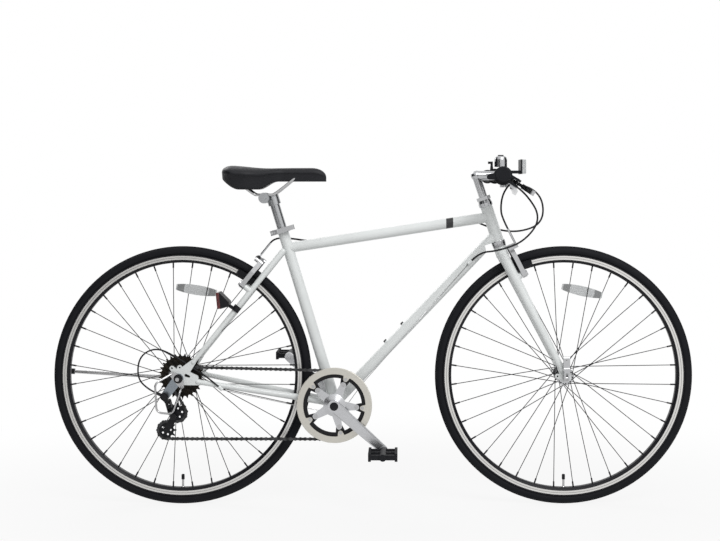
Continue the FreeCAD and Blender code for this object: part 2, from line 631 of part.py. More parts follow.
def fork():
    """Steerer with a bent crown, then straight tapering blades with ends, eyelets and brake bosses."""
    lean = math.atan2(FORK_END_Y - BLADE_TOP_Y, BLADE_TOP_UP - BLADE_END_UP)
    bend = 26.0
    solids = []
    for side in (1, -1):
        start = FORK.at(0, side * BLADE_TOP_Y, BLADE_TOP_UP)
        along = unit(FORK.y * (-side * math.sin(lean)) + FORK.z * math.cos(lean))
        inward = unit(FORK.y * (-side * math.cos(lean)) - FORK.z * math.sin(lean))
        face = Part.Face(Part.Wire(Part.makeCircle(BLADE_TOP_RADIUS, start, along)))
        solids.append(one(face.revolve(start + inward * bend, FORK.x * side, 78)))
    tie = rod(FORK.at(0, -20, 361), FORK.at(0, 20, 361), 13.0)
    lug = rod(STEER.at(0, 0, CROWN_MEET), STEER.at(0, 0, CROWN_TOP), 17.0)
    steerer = rod(STEER.at(0, 0, CROWN_MEET), STEER.at(0, 0, LOCKNUT_TOP), STEERER_RADIUS)
    bore = rod(STEER.at(0, 0, 400), STEER.at(0, 0, LOCKNUT_TOP + 1), STEERER_BORE)
    save("fork_crown", less(joined(solids + [tie, lug, steerer]), [bore]))

    blade = rod(FORK.at(0, -BLADE_TOP_Y, BLADE_TOP_UP), FORK.at(0, -FORK_END_Y, BLADE_END_UP),
                BLADE_TOP_RADIUS, BLADE_END_RADIUS)
    foot = ball(FORK.at(0, -FORK_END_Y, BLADE_END_UP), BLADE_END_RADIUS)
    here = picture(FRONT.x, FRONT.z)
    y0, y1 = -FRONT_SPACING / 2, -FRONT_SPACING / 2 - DROPOUT_THICK
    up = (FORK_UP.x * 30, FORK_UP.z * 30)
    plate = joined([
        crosswise(here, lambda a, b: bar((0, 0, 13), (up[0], up[1], 9), a, b), y0, y1),
        crosswise(here, lambda a, b: bar((-4, 2, 8), (*FORK_EYELET, 6), a, b), y0, y1),
    ])
    eyelet = crosswise(here, lambda a, b: disc(*FORK_EYELET, EYELET_HOLE, a - 1, b + 1), y0, y1)
    slot_r = AXLE_RADIUS + 0.15
    slot = crosswise(here, lambda a, b: bar((0, 0, slot_r), (4, -40, slot_r), a - 1, b + 1), y0, y1)
    inside = FORK.put(box(-30, 30, -FRONT_SPACING / 2, 0, 0, 60))
    boss_at = FORK.at(0, -BRAKE_PIVOT_Y, BRAKE_PIVOT_UP)
    right = joined([
        less(joined([blade, foot]), [inside]),
        plate,
        rod(boss_at, boss_at + FORK.x * (ARM_NEAR - 2), 8.0),
        rod(boss_at, boss_at + FORK.x * (ARM_FAR - 0.5), BRAKE_PIN_RADIUS),
    ])
    right = less(right, [eyelet, slot])
    save("fork_blades", right, mirrored(right))

    nut_foot = HEAD_TUBE_TOP + 10 + GAP
    race = turned([(STEERER_RADIUS, CROWN_TOP), (HEADSET_RADIUS - 0.5, CROWN_TOP),
                   (HEADSET_RADIUS - 0.5, HEAD_TUBE_FOOT - 9 - GAP), (STEERER_RADIUS,
                                                                      HEAD_TUBE_FOOT - 9 - GAP)], STEER)
    upper = turned([(STEERER_RADIUS, nut_foot), (HEADSET_RADIUS - 1, nut_foot),
                    (HEADSET_RADIUS - 2, nut_foot + 7),
                    (STEERER_RADIUS, nut_foot + 7)], STEER)
    lock = less(STEER.put(hexagon(HEADSET_RADIUS, nut_foot + 7.5, LOCKNUT_TOP)),
                [rod(STEER.at(0, 0, 480), STEER.at(0, 0, 530), STEERER_RADIUS)])
    save("headset_races", race, upper, lock)


def bar_axes(along, drop):
    """Axes on the right half of the bar: x forward and down, y inwards along the bar."""
    down = math.radians(drop)
    ahead = V(math.cos(down), 0, -math.sin(down))
    ahead = unit(ahead - BAR_DIR * BAR_DIR.dot(ahead))
    return Axes(BAR_END + BAR_DIR * along, ahead, ahead.cross(BAR_DIR))


def stem_and_bar():
    """Quill stem with its bolts, and the flat swept bar with grips."""
    rise = (STEM_HEIGHT - STEER.origin.z) / STEER_DIR.z
    corner = STEER.at(0, 0, rise)
    quill = rod(STEER.at(0, 0, rise - QUILL_LENGTH), corner, STEERER_BORE - 0.1)
    elbow = ball(corner, 13.6)
    reach = rod(corner, BAR_CENTRE - V(10, 0, 0), 12.6, 11.4)
    hold = rod(BAR_CENTRE - V(0, 21, 0), BAR_CENTRE + V(0, 21, 0), 18.5)
    lug = box(BAR_CENTRE.x - 11, BAR_CENTRE.x + 11, -13, 13, STEM_HEIGHT - 31, STEM_HEIGHT - 12)
    bore = rod(BAR_CENTRE - V(0, 30, 0), BAR_CENTRE + V(0, 30, 0), BAR_SLEEVE_RADIUS + 0.05)
    slit = box(BAR_CENTRE.x - 1, BAR_CENTRE.x + 1, -30, 30, STEM_HEIGHT - 40, STEM_HEIGHT - 10)
    body = less(joined([quill, elbow, reach, hold, lug]), [bore, slit])
    pinch_at = V(BAR_CENTRE.x, 0, STEM_HEIGHT - 24)
    pinch_bore = rod(pinch_at - V(30, 0, 0), pinch_at + V(30, 0, 0), 3.1)
    bolt_well = rod(STEER.at(0, 0, rise + 7), STEER.at(0, 0, rise + 20), 6.5)
    body = less(body, [pinch_bore, bolt_well])
    pinch = joined([rod(pinch_at - V(11, 0, 0), pinch_at + V(11, 0, 0), 3.0),
                    rod(pinch_at + V(11, 0, 0), pinch_at + V(16, 0, 0), 5.5)])
    head = STEER.put(less(disc(0, 0, 6.4, rise + 7, rise + 12), [hexagon(3.5, rise + 9, rise + 13)]))
    save("stem", body, pinch, head)

    ends = [BAR_END, BAR_KNEE, V(BAR_KNEE.x, -BAR_KNEE.y, BAR_KNEE.z), V(BAR_END.x, -BAR_END.y, BAR_END.z)]
    sleeve = rod(BAR_CENTRE - V(0, 30, 0), BAR_CENTRE + V(0, 30, 0), BAR_SLEEVE_RADIUS)
    save("handlebar", joined([cable(ends, 60, BAR_RADIUS), sleeve]))

    hole = BAR_RADIUS + 0.05
    profile = [(hole, GRIP_LENGTH), (GRIP_RADIUS + 4.5, GRIP_LENGTH), (GRIP_RADIUS + 4.5, GRIP_LENGTH - 4),
               (GRIP_RADIUS, GRIP_LENGTH - 6)]
    for k in range(6):
        foot = GRIP_LENGTH - 18 - k * 15
        profile += [(GRIP_RADIUS, foot + 2), (GRIP_RADIUS - 0.9, foot + 1), (GRIP_RADIUS - 0.9, foot - 1),
                    (GRIP_RADIUS, foot - 2)]
    profile += [(GRIP_RADIUS, 9), (GRIP_RADIUS + 3, 4), (GRIP_RADIUS + 3, -2), (GRIP_RADIUS, -4), (0, -4),
                (0, -0.1),
                (hole, -0.1)]
    grip = turned(profile, Axes(BAR_END, V(0, 0, 1), BAR_DIR))
    save("grips", grip, mirrored(grip))


def hand_controls():
    """Brake lever brackets and blades, the shifter with its thumb lever."""
    here = bar_axes(LEVER_FROM_END, LEVER_DROP)
    px, py = LEVER_PIVOT
    hole = Part.makeCylinder(BAR_RADIUS + 0.05, 200, V(0, -60, 0), V(0, 1, 0))
    band = Part.makeCylinder(16, 17, V(0, -8.5, 0), V(0, 1, 0))
    arm = bar((5, 2, 12), (px, py, 9), -11, 11)
    slot = box(21, 70, -40, 40, -4.3, 4.3)
    barrel = Part.makeCylinder(5, 22, V(25, 12, 0), V(0, 1, 0))
    tip = Part.makeCylinder(3.6, 8, V(25, 34, 0), V(0, 1, 0))
    socket = Part.makeCylinder(CABLE_RADIUS + 0.1, 6.2, V(25, 36, 0), V(0, 1, 0))
    backing = box(14, 30, 6, 14, -6, 6)
    bracket = less(joined([less(joined([band, arm]), [slot]), backing, barrel, tip]), [hole, socket])
    bracket = less(bracket, [disc(px, py, 11.5, -4.3, 4.3)])
    bracket = joined([bracket, disc(px, py, 3, -11.5, 11.5)])

    y0, y1 = SHIFTER_FROM, SHIFTER_FROM + SHIFTER_WIDE
    across = Axes(V(0, 0, 0), V(1, 0, 0), V(0, 1, 0))
    pod = across.put(disc(*SHIFTER_CENTRE, SHIFTER_RADIUS, y0, y1))
    pod = pod.makeFillet(3.0, pod.Edges[:1] + pod.Edges[-1:])
    lip = across.put(disc(0, 0, 17, y0 - 0.1, y1 + 7))
    mid_y = (y0 + y1) / 2
    spout = Part.makeCylinder(4.4, SPOUT_REACH, V(0, mid_y, -9), V(1, 0, 0))
    spout_hole = Part.makeCylinder(CABLE_RADIUS + 0.1, 7, V(SPOUT_REACH - 6.2, mid_y, -9), V(1, 0, 0))
    shifter = less(joined([one(pod), lip, spout]), [hole, spout_hole])
    save("lever_brackets", here.put(bracket), mirrored(here.put(bracket)), here.put(shifter))

    joints = [(px, py, 7.5), (58, -12, 5.5), (72, -48, 5.0), (83, -86, 5.0), (84, -93, 6.0)]
    pieces = [bar(joints[0], joints[1], -3.9, 3.9)]
    for k in range(1, 4):
        pieces.append(bar(joints[k], joints[k + 1], -6.5, 6.5))
    blade = less(joined(pieces), [disc(px, py, 3 + RUNNING, -10, 10)])
    blade = here.put(blade)
    save("brake_lever_right", blade)
    save("brake_lever_left", mirrored(blade))

    low, high = y0 - 0.1 - GAP - 8, y0 - 0.1 - GAP
    thumb = joined([disc(0, 0, 18, low, high), bar((-6, 6, 11), (-30, 24, 7), low, high)])
    thumb = across.put(less(thumb, [disc(0, 0, BAR_RADIUS + RUNNING, low - 1, high + 1)]))
    save("shift_lever", here.put(thumb))
    return {
        "lever_right_at": here.at(px, py, 0), "lever_axis": here.z * -1,
        "shifter_at": here.at(0, (low + high) / 2, 0), "shifter_axis": here.y * -1,
        "barrel": here.at(25, 36.2, 0), "spout": here.at(SPOUT_REACH - 6, mid_y, -9), "spout_ahead": here.x,
        "bar_in": here.y,
        "finger_gap": here.at(38, -45, 0),
    }


def bar_fittings():
    """Bell with its sprung striker, and the clear front reflector on its bracket."""
    here = bar_axes(BELL_FROM_END, 0.0)
    hole = Part.makeCylinder(BAR_RADIUS + 0.05, 40, V(0, -20, 0), V(0, 1, 0))
    band = Part.makeCylinder(14.5, 11, V(0, -5.5, 0), V(0, 1, 0))
    bx = -11.0
    seat_plate = bar((bx, 0, 10), (bx - 22, 0, 6), 13, 17)
    prop = disc(bx, 0, 8, 5, 13)
    lugs = [box(bx - 27, bx - 20, s - 1.5, s + 1.5, 16, 23) for s in (-6.8, 6.8)]
    pin = Part.makeCylinder(1.6, 16.6, V(bx - 23.5, -8.3, 20), V(0, 1, 0))
    stand = joined([less(joined([band, prop, seat_plate] + lugs), [hole]), disc(bx, 0, 3, 12, 52), pin,
                    disc(bx, 0, 7.5, 50.05, 53)])
    dome = turned([(3.05, 50), (11, 50), (15, 47), (16.5, 42), (16.5, 22), (15, 22), (15, 41.5),
                   (13.8, 45.6),
                   (10.5, 48.4), (3.05, 48.4)], Axes(V(bx, 0, 0), V(1, 0, 0), V(0, 0, 1)))
    save("bell", here.put(stand), here.put(dome))
    striker = joined([box(bx - 26.5, bx - 20.5, -5, 5, 18, 30), box(bx - 33, bx - 20.5, -5, 5, 30, 36)])
    striker = less(striker, [Part.makeCylinder(1.6 + RUNNING, 30, V(bx - 23.5, -15, 20), V(0, 1, 0))])
    save("bell_striker", here.put(striker))

    z0 = STEM_HEIGHT + 4
    holder = box(386, 390, -38, 38, z0, z0 + 38)
    strap = Part.makeCylinder(16, 8, V(BAR_CENTRE_X, -30, STEM_HEIGHT), V(0, 1, 0))
    arm = box(BAR_CENTRE_X + 10, 387, -30, -22, z0 + 1, z0 + 9)
    strap_bore = Part.makeCylinder(BAR_SLEEVE_RADIUS + 0.05, 40, V(BAR_CENTRE_X, -45, STEM_HEIGHT),
                                   V(0, 1, 0))
    lens = box(390.1, 400, -37.5, 37.5, z0 + 0.5, z0 + 37.5)
    lens = lens.makeFillet(2.5, [e for e in lens.Edges if all(abs(v.X - 400) < 1e-6 for v in e.Vertexes)])
    save("front_reflector", less(joined([holder, strap, arm]), [strap_bore]), one(lens))
    return {"striker_at": here.at(bx - 23.5, 0, 20), "striker_axis": here.y * -1}


def polar(r, turn, y):
    """Point at a radius and angle in the wheel plane, seen from the drive side."""
    a = math.radians(turn)
    return V(r * math.cos(a), y, r * math.sin(a))


def spoke(hole_r, hole_turn, flange_y, outside, rim_turn):
    """Spoke with head, elbow, straight shaft and nipple, for a wheel centred on the origin."""
    away = 1 if flange_y > 0 else -1
    half = FLANGE_THICK / 2
    off = half + SPOKE_RADIUS + 1.1 if outside else half + SPOKE_RADIUS + 0.2
    face = away if outside else -away
    elbow = polar(hole_r, hole_turn, flange_y + face * off)
    end = polar(RIM_INNER - 0.4, rim_turn, 0)
    out = unit(end - elbow)
    neck_end = polar(hole_r, hole_turn, flange_y - face * (half + 1.0))
    head_end = polar(hole_r, hole_turn, flange_y - face * (half + 0.15))
    return joined([
        rod(elbow, end, SPOKE_RADIUS),
        ball(elbow, SPOKE_RADIUS + 0.05),
        rod(elbow, neck_end, SPOKE_RADIUS),
        rod(head_end, neck_end, 1.9),
        rod(end - out * 13, end, 2.1),
    ])


def wheel(name, centre, flanges, hole_circle, hub_profile, reflector_turn, reflector_y):
    """Tyre with valve, rim, laced spokes, hub shell and spoke reflector."""
    mid = TYRE_RADIUS - TYRE_WIDTH / 2
    lip = RIM_RADIUS + 0.5

    def on(r, y):
        return V(r, y, 0)

    outer_y = math.sqrt((TYRE_WIDTH / 2) ** 2 - (mid - lip) ** 2)
    inner_y = math.sqrt((TYRE_WIDTH / 2 - TYRE_WALL) ** 2 - (mid - lip) ** 2)
    wall = RIM_WIDTH / 2 - RIM_WALL
    bead = wall - 0.15
    foot = BEAD_SEAT + 0.5
    left = [on(lip, outer_y), on(lip, bead), on(foot, bead), on(foot, bead - 3.4), on(lip, inner_y)]
    right = [on(p.x, -p.y) for p in left]
    edges = [Part.Arc(left[0], on(TYRE_RADIUS, 0), right[0]),
             Part.Arc(left[4], on(TYRE_RADIUS - TYRE_WALL, 0), right[4])]
    for side in (left, right):
        edges += [Part.LineSegment(side[k], side[k + 1]) for k in range(4)]
    section = Part.Face(Part.Wire(Part.__sortEdges__([e.toShape() for e in edges])))
    tyre = one(section.revolve(V(0, 0, 0), V(0, 1, 0), 360))
    grooves = []
    low, high = TYRE_RADIUS - 2.6, TYRE_RADIUS + 1
    for y in (-5.0, 5.0):
        loop = [(low, y - 0.7), (high, y - 0.7), (high, y + 0.7), (low, y + 0.7), (low, y - 0.7)]
        groove = Part.Face(Part.makePolygon([on(r, across) for r, across in loop]))
        grooves.append(groove.revolve(V(0, 0, 0), V(0, 1, 0), 360))
    tyre = less(tyre, grooves)
    valve = joined([rod(polar(RIM_INNER - 0.2, -90, 0), polar(RIM_INNER - 22, -90, 0), 3.0),
                    rod(polar(RIM_INNER - 22, -90, 0), polar(RIM_INNER - 34, -90, 0), 4.2)])
    tyre.translate(centre)
    valve.translate(centre)
    save(name + "_tyre", tyre, valve)

    half = RIM_WIDTH / 2
    outline = [(RIM_RADIUS, half), (303, half), (298.5, 9), (RIM_INNER, 6.5)]
    well = [(308, 6), (309.5, wall), (RIM_RADIUS, wall)]
    loop = outline + [(r, -y) for r, y in reversed(outline)] + [(r, -y) for r, y in reversed(well)] + well
    corners = [on(r, y) for r, y in loop]
    rim = one(Part.Face(Part.makePolygon(corners + corners[:1])).revolve(V(0, 0, 0), V(0, 1, 0), 360))
    rim.translate(centre)
    save(name + "_rim", rim)

    spokes = []
    holes = []
    step = 360.0 / SPOKES_PER_FLANGE
    for flange_y, first in zip(flanges, (5.0, 5.0 + step / 2)):
        for k in range(SPOKES_PER_FLANGE):
            turn = first + k * step
            outside = k % 2 == 0
            rim_turn = turn + SPOKE_CROSSING if outside else turn - SPOKE_CROSSING
            spokes.append(spoke(hole_circle, turn, flange_y, outside, rim_turn))
            holes.append(rod(polar(hole_circle, turn, flange_y - 4), polar(hole_circle, turn, flange_y + 4),
                             SPOKE_RADIUS + 0.15))
    for one_spoke in spokes:
        one_spoke.translate(centre)
    save(name + "_spokes", *spokes)

    corners = [V(r, y, 0) for r, y in hub_profile]
    hub = one(Part.Face(Part.makePolygon(corners + corners[:1])).revolve(V(0, 0, 0), V(0, 1, 0), 360))
    hub = less(hub, holes)
    hub.translate(centre)
    save(name + "_hub", hub)

    y0, y1 = reflector_y
    side = Axes(centre + polar(REFLECTOR_AT, reflector_turn, 0), polar(1, reflector_turn - 90, 0),
                V(0, -1, 0))
    ends = [V(way * REFLECTOR_HALF, up * 7.5, -y1) for up in (1, -1) for way in (-1, 1)]
    edges = [Part.Arc(ends[0], V(0, 13, -y1), ends[1]), Part.LineSegment(ends[1], ends[3]),
             Part.Arc(ends[3], V(0, -13, -y1), ends[2]), Part.LineSegment(ends[2], ends[0])]
    lens = Part.Face(Part.Wire([e.toShape() for e in edges])).extrude(V(0, 0, y1 - y0))
    lens = lens.makeFillet(2.0, [e for e in lens.Edges if abs(e.tangentAt(e.FirstParameter).z) > 0.9])
    save(name + "_wheel_reflector", side.put(one(lens)))


def hub_outline(flanges, hole_circle, barrel, left_end, right_end, left_cap, right_cap):
    """Closed (radius, y) outline of a hub shell with two flanges."""
    bore = AXLE_RADIUS + RUNNING
    left, right = flanges
    rim = hole_circle + 4.5
    half = FLANGE_THICK / 2
    return [
        (bore, right_end), (right_cap, right_end), (right_cap, right - half), (rim - 1, right - half),
        (rim, right),
        (rim - 1, right + half), (barrel + 3, right + half), (barrel, right + half + 5),
        (barrel, left - half - 5),
        (barrel + 3, left - half), (rim - 1, left - half), (rim, left), (rim - 1, left + half),
        (left_cap, left + half), (left_cap, left_end), (bore, left_end),
    ]


def axles():
    """Front axle with its quick-release skewer, lever apart, and the nutted rear axle."""
    here = Axes(FRONT, V(1, 0, 0), V(0, 1, 0))
    hub_end = FRONT_SPACING / 2 - 6
    plate_far = FRONT_SPACING / 2 + DROPOUT_THICK
    nuts = []
    for side in (1, -1):
        nuts.append(rod(V(0, side * (hub_end + GAP), 0), V(0, side * FRONT_SPACING / 2, 0), 8.0))
    spindle = rod(V(0, -plate_far + 0.5, 0), V(0, plate_far - 0.5, 0), AXLE_RADIUS)
    skewer = rod(V(0, -plate_far - 14, 0), V(0, plate_far + 15, 0), 2.6)
    left_nut = turned([(0, plate_far), (10, plate_far), (10, plate_far + 4), (7, plate_far + 13),
                       (0, plate_far + 13)],
                      Axes(V(0, 0, 0), V(1, 0, 0), V(0, 1, 0)))
    cup = rod(V(0, -plate_far, 0), V(0, -plate_far - 6, 0), 9.0)
    eye = rod(V(-2.6, -plate_far - 14, 0), V(2.6, -plate_far - 14, 0), 5.0)
    pin = rod(V(-7, -plate_far - 14, 0), V(7, -plate_far - 14, 0), 2.5)
    front = joined([spindle, skewer, left_nut, cup, eye, pin] + nuts)
    front.translate(FRONT)
    save("front_axle", front)

    pivot = FRONT + V(0, -plate_far - 14, 0)
    at = Axes(pivot, V(0, 0, 1), V(1, 0, 0))
    root = bar((0, 0, 7), (24, 2.5, 5), -7, 7)
    blade = bar((22, 2.4, 4.5), (52, 1.0, 4.0), -8.5, 8.5)
    paddle = less(joined([root, blade]), [box(-20, 14, -20, 20, -3.0, 3.0),
                                          disc(0, 0, 2.5 + RUNNING, -20, 20)])
    hole = Part.makeCylinder(2.2, 40, V(46, -20, 0), V(0, 1, 0))
    save("front_release_lever", at.put(less(paddle, [hole])))

    far = DROPOUT_FAR
    left_cone = rod(V(0, REAR_LEFT_END + GAP, 0), V(0, DROPOUT_NEAR, 0), 8.5)
    right_cone = rod(V(0, REAR_RIGHT_END - GAP, 0), V(0, -DROPOUT_NEAR, 0), 8.5)
    spindle = rod(V(0, -far - 22, 0), V(0, far + 20, 0), AXLE_RADIUS)
    rear = joined([spindle, left_cone, right_cone])
    rear.translate(REAR)
    nuts = []
    for side, stack in ((1, KICK_PLATE), (-1, HANGER_PLATE + GUARD_PLATE)):
        face = Axes(REAR + V(0, side * (far + stack), 0), V(1, 0, 0), V(0, side, 0))
        nut = joined([hexagon(10, 2.5, 10), disc(0, 0, 11.5, 0, 2.5)])
        nuts.append(face.put(less(nut, [disc(0, 0, AXLE_RADIUS, -1, 20)])))
    save("rear_axle", rear, *nuts)
    return {"front_release_at": pivot}


def tooth_face(teeth, phase):
    """Sprocket outline: a roller seat for every tooth gap, straight flanks and narrow tips."""
    pitch_r = CHAIN_PITCH / (2 * math.sin(math.pi / teeth))
    lean = math.radians(TOOTH_LEAN)
    flank = (TOOTH_TIP + SEAT_RADIUS * math.cos(lean)) / math.sin(lean)

    def gap(k):
        turn = phase + 2 * math.pi * k / teeth
        out = V(math.cos(turn), math.sin(turn), 0)
        side = V(-math.sin(turn), math.cos(turn), 0)
        seats = []
        tips = []
        for way in (-1, 1):
            seat_at = out * (pitch_r - SEAT_RADIUS * math.cos(lean)) + side * (way * SEAT_RADIUS * math.sin(lean))
            seats.append(seat_at)
            tips.append(seat_at + (out * math.sin(lean) + side * (way * math.cos(lean))) * flank)
        return seats, tips, out * (pitch_r - SEAT_RADIUS)

    edges = []
    for k in range(teeth):
        seats, tips, low = gap(k)
        next_seats, next_tips, _ = gap((k + 1) % teeth)
        edges.append(Part.Arc(seats[0], low, seats[1]).toShape())
        edges.append(Part.LineSegment(seats[1], tips[1]).toShape())
        edges.append(Part.LineSegment(tips[1], next_tips[0]).toShape())
        edges.append(Part.LineSegment(next_tips[0], next_seats[0]).toShape())
    return Part.Face(Part.Wire(edges))


def tooth_disc(teeth, phase, z0, z1):
    """Toothed plate in local axes."""
    solid = tooth_face(teeth, phase).extrude(V(0, 0, z1 - z0))
    solid.translate(V(0, 0, z0))
    return solid


def pitch_radius(teeth):
    """Radius of the roller centres on a toothed wheel."""
    return CHAIN_PITCH / (2 * math.sin(math.pi / teeth))


class ChainRun:
    """Closed path of roller centres over chainring, tension pulley, guide pulley and sprocket."""

    def __init__(self, cage_angle):
        turn = math.radians(cage_angle)
        tension = (GUIDE_AT[0] + CAGE_LENGTH * math.cos(turn), GUIDE_AT[1] + CAGE_LENGTH * math.sin(turn))
        # Each wheel: centre, pitch radius, sense of the chain around it (+1 anticlockwise).
        self.wheels = [
            ((BB.x, BB.z), pitch_radius(CHAINRING_TEETH), -1),
            (tension, pitch_radius(PULLEY_TEETH), -1),
            (GUIDE_AT, pitch_radius(PULLEY_TEETH), 1),
            ((REAR.x, REAR.z), pitch_radius(SPROCKETS[0]), -1),
        ]
        leave = []
        arrive = [None] * 4
        for k in range(4):
            (c1, r1, s1), (c2, r2, s2) = self.wheels[k], self.wheels[(k + 1) % 4]
            span = math.hypot(c2[0] - c1[0], c2[1] - c1[1])
            heading = math.atan2(c2[1] - c1[1], c2[0] - c1[0]) + math.asin((s1 * r1 - s2 * r2) / span)
            leave.append(heading - s1 * math.pi / 2)
            arrive[(k + 1) % 4] = heading - s2 * math.pi / 2
        self.pieces = []
        for k, (c, r, s) in enumerate(self.wheels):
            start, end = arrive[k], leave[k]
            if k == 0:
                start = 0.0
            sweep = (end - start) * s % (2 * math.pi)
            self.pieces.append(("arc", c, r, start, s * sweep, r * sweep))
            nc, nr, _ = self.wheels[(k + 1) % 4]
            a = (c[0] + r * math.cos(end), c[1] + r * math.sin(end))
            turn_in = arrive[(k + 1) % 4]
            b = (nc[0] + nr * math.cos(turn_in), nc[1] + nr * math.sin(turn_in))
            self.pieces.append(("line", a, b, k, 0.0, math.hypot(b[0] - a[0], b[1] - a[1])))
        c, r, s = self.wheels[0]
        sweep = arrive[0] % (2 * math.pi)
        self.pieces.append(("arc", c, r, arrive[0], -sweep, r * sweep))
        self.length = sum(p[5] for p in self.pieces)

    def point(self, s):
        """Roller centre (x, y, z) at a distance along the path."""
        for kind, a, b, c, d, size in self.pieces:
            if s <= size or kind == "arc" and (a, c) == (self.pieces[-1][1], self.pieces[-1][3]):
                share = s / size
                if kind == "arc":
                    turn = c + d * share
                    y = CHAINRING_Y if a == self.wheels[0][0] else SPROCKET_Y
                    return V(a[0] + b * math.cos(turn), y, a[1] + b * math.sin(turn))
                blend = (1 - math.cos(math.pi * share)) / 2
                y = {0: CHAINRING_Y + (SPROCKET_Y - CHAINRING_Y) * blend,
                     3: SPROCKET_Y + (CHAINRING_Y - SPROCKET_Y) * blend}.get(c, SPROCKET_Y)
                return V(a[0] + (b[0] - a[0]) * share, y, a[1] + (b[1] - a[1]) * share)
            s -= size
        raise ValueError("past the end of the chain")

    def walk(self):
        """Rollers one pitch apart from the foremost chainring gap, and the pitches left over."""
        rollers = [self.point(0)]
        s = 0.0
        while True:
            low, high = s + CHAIN_PITCH * 0.99, s + CHAIN_PITCH * 1.05
            if high > self.length:
                break
            here = self.point(s)
            for _ in range(50):
                mid = (low + high) / 2
                there = self.point(mid)
                if math.hypot(there.x - here.x, there.z - here.z) < CHAIN_PITCH:
                    low = mid
                else:
                    high = mid
            s = (low + high) / 2
            rollers.append(self.point(s))
        tooth = self.wheels[0][1] * 2 * math.pi / CHAINRING_TEETH
        return rollers, len(rollers) - 1 + (self.length - s) / tooth


def fitted_chain():
    """Cage angle that closes the chain on an even number of pitches, with its roller centres."""
    def pitches(angle):
        return ChainRun(angle).walk()[1]

    target = 2 * round(pitches(CAGE_ANGLE) / 2)
    low, high = CAGE_ANGLE - 45, CAGE_ANGLE + 45
    rising = pitches(high) > pitches(low)
    for _ in range(40):
        mid = (low + high) / 2
        if (pitches(mid) < target) == rising:
            low = mid
        else:
            high = mid
    angle = (low + high) / 2
    rollers, total = ChainRun(angle).walk()
    print("chain of %.4f pitches, cage at %.3f degrees" % (total, angle))
    return angle, rollers[:target]


def chain_links():
    """One inner and one outer link lying along local x from a roller at the origin."""
    def plate(z0, z1):
        r, waist = 4.2, 2.9
        mid = CHAIN_PITCH / 2
        turn = math.radians(120)
        right = [V(CHAIN_PITCH + r * math.cos(turn), s * r * math.sin(turn), z0) for s in (1, -1)]
        left = [V(-r * math.cos(turn), s * r * math.sin(turn), z0) for s in (1, -1)]
        edges = [
            Part.Arc(left[0], V(mid, waist, z0), right[0]),
            Part.Arc(right[0], V(CHAIN_PITCH + r, 0, z0), right[1]),
            Part.Arc(right[1], V(mid, -waist, z0), left[1]),
            Part.Arc(left[1], V(-r, 0, z0), left[0]),
        ]
        return Part.Face(Part.Wire([e.toShape() for e in edges])).extrude(V(0, 0, z1 - z0))

    inside = TOOTH_THICK / 2 + 0.3
    outside = inside + PLATE_THICK + 0.2
    inner = joined([plate(inside, inside + PLATE_THICK), plate(-inside - PLATE_THICK, -inside),
                    disc(0, 0, ROLLER_RADIUS, -inside, inside),
                    disc(CHAIN_PITCH, 0, ROLLER_RADIUS, -inside, inside)])
    inner = less(inner, [disc(0, 0, 1.9, -5, 5), disc(CHAIN_PITCH, 0, 1.9, -5, 5)])
    end = outside + PLATE_THICK + 0.25
    outer = joined([plate(outside, outside + PLATE_THICK), plate(-outside - PLATE_THICK, -outside),
                    disc(0, 0, 1.7, -end, end), disc(CHAIN_PITCH, 0, 1.7, -end, end)])
    return inner, outer


def chain(rollers):
    """Every link of the chain in its place, inner and outer in turn."""
    inner, outer = chain_links()
    links = []
    for k, here in enumerate(rollers):
        there = rollers[(k + 1) % len(rollers)]
        links.append(Axes(here, there - here, V(0, -1, 0)).put(outer if k % 2 else inner))
    save("chain", *links)


def gap_phase(rollers, centre, teeth):
    """Angle of a tooth gap that holds the rollers lying on this wheel."""
    pitch_r = pitch_radius(teeth)
    best = min(rollers, key=lambda p: abs(math.hypot(p.x - centre[0], p.z - centre[1]) - pitch_r))
    on = [p for p in rollers if abs(math.hypot(p.x - centre[0], p.z - centre[1]) - pitch_r) < 1e-3]
    middle = on[len(on) // 2] if on else best
    return math.atan2(middle.z - centre[1], middle.x - centre[0])


def freewheel(rollers):
    """Seven sprockets on one freewheel body, the smallest outermost."""
    here = picture(REAR.x, REAR.z)
    phase = gap_phase(rollers, (REAR.x, REAR.z), SPROCKETS[0])
    parts = []
    for k, teeth in enumerate(SPROCKETS):
        mid = -SPROCKET_Y - k * SPROCKET_STEP
        parts.append(here.put(tooth_disc(teeth, phase, mid - TOOTH_THICK / 2, mid + TOOTH_THICK / 2)))
    last = -SPROCKET_Y - (len(SPROCKETS) - 1) * SPROCKET_STEP
    body = here.put(disc(0, 0, 23, last - 2.5, -SPROCKET_Y + 2.5))
    bore = here.put(disc(0, 0, FREEWHEEL_SEAT + RUNNING, 0, 90))
    save("freewheel", less(joined([body] + parts), [bore]))


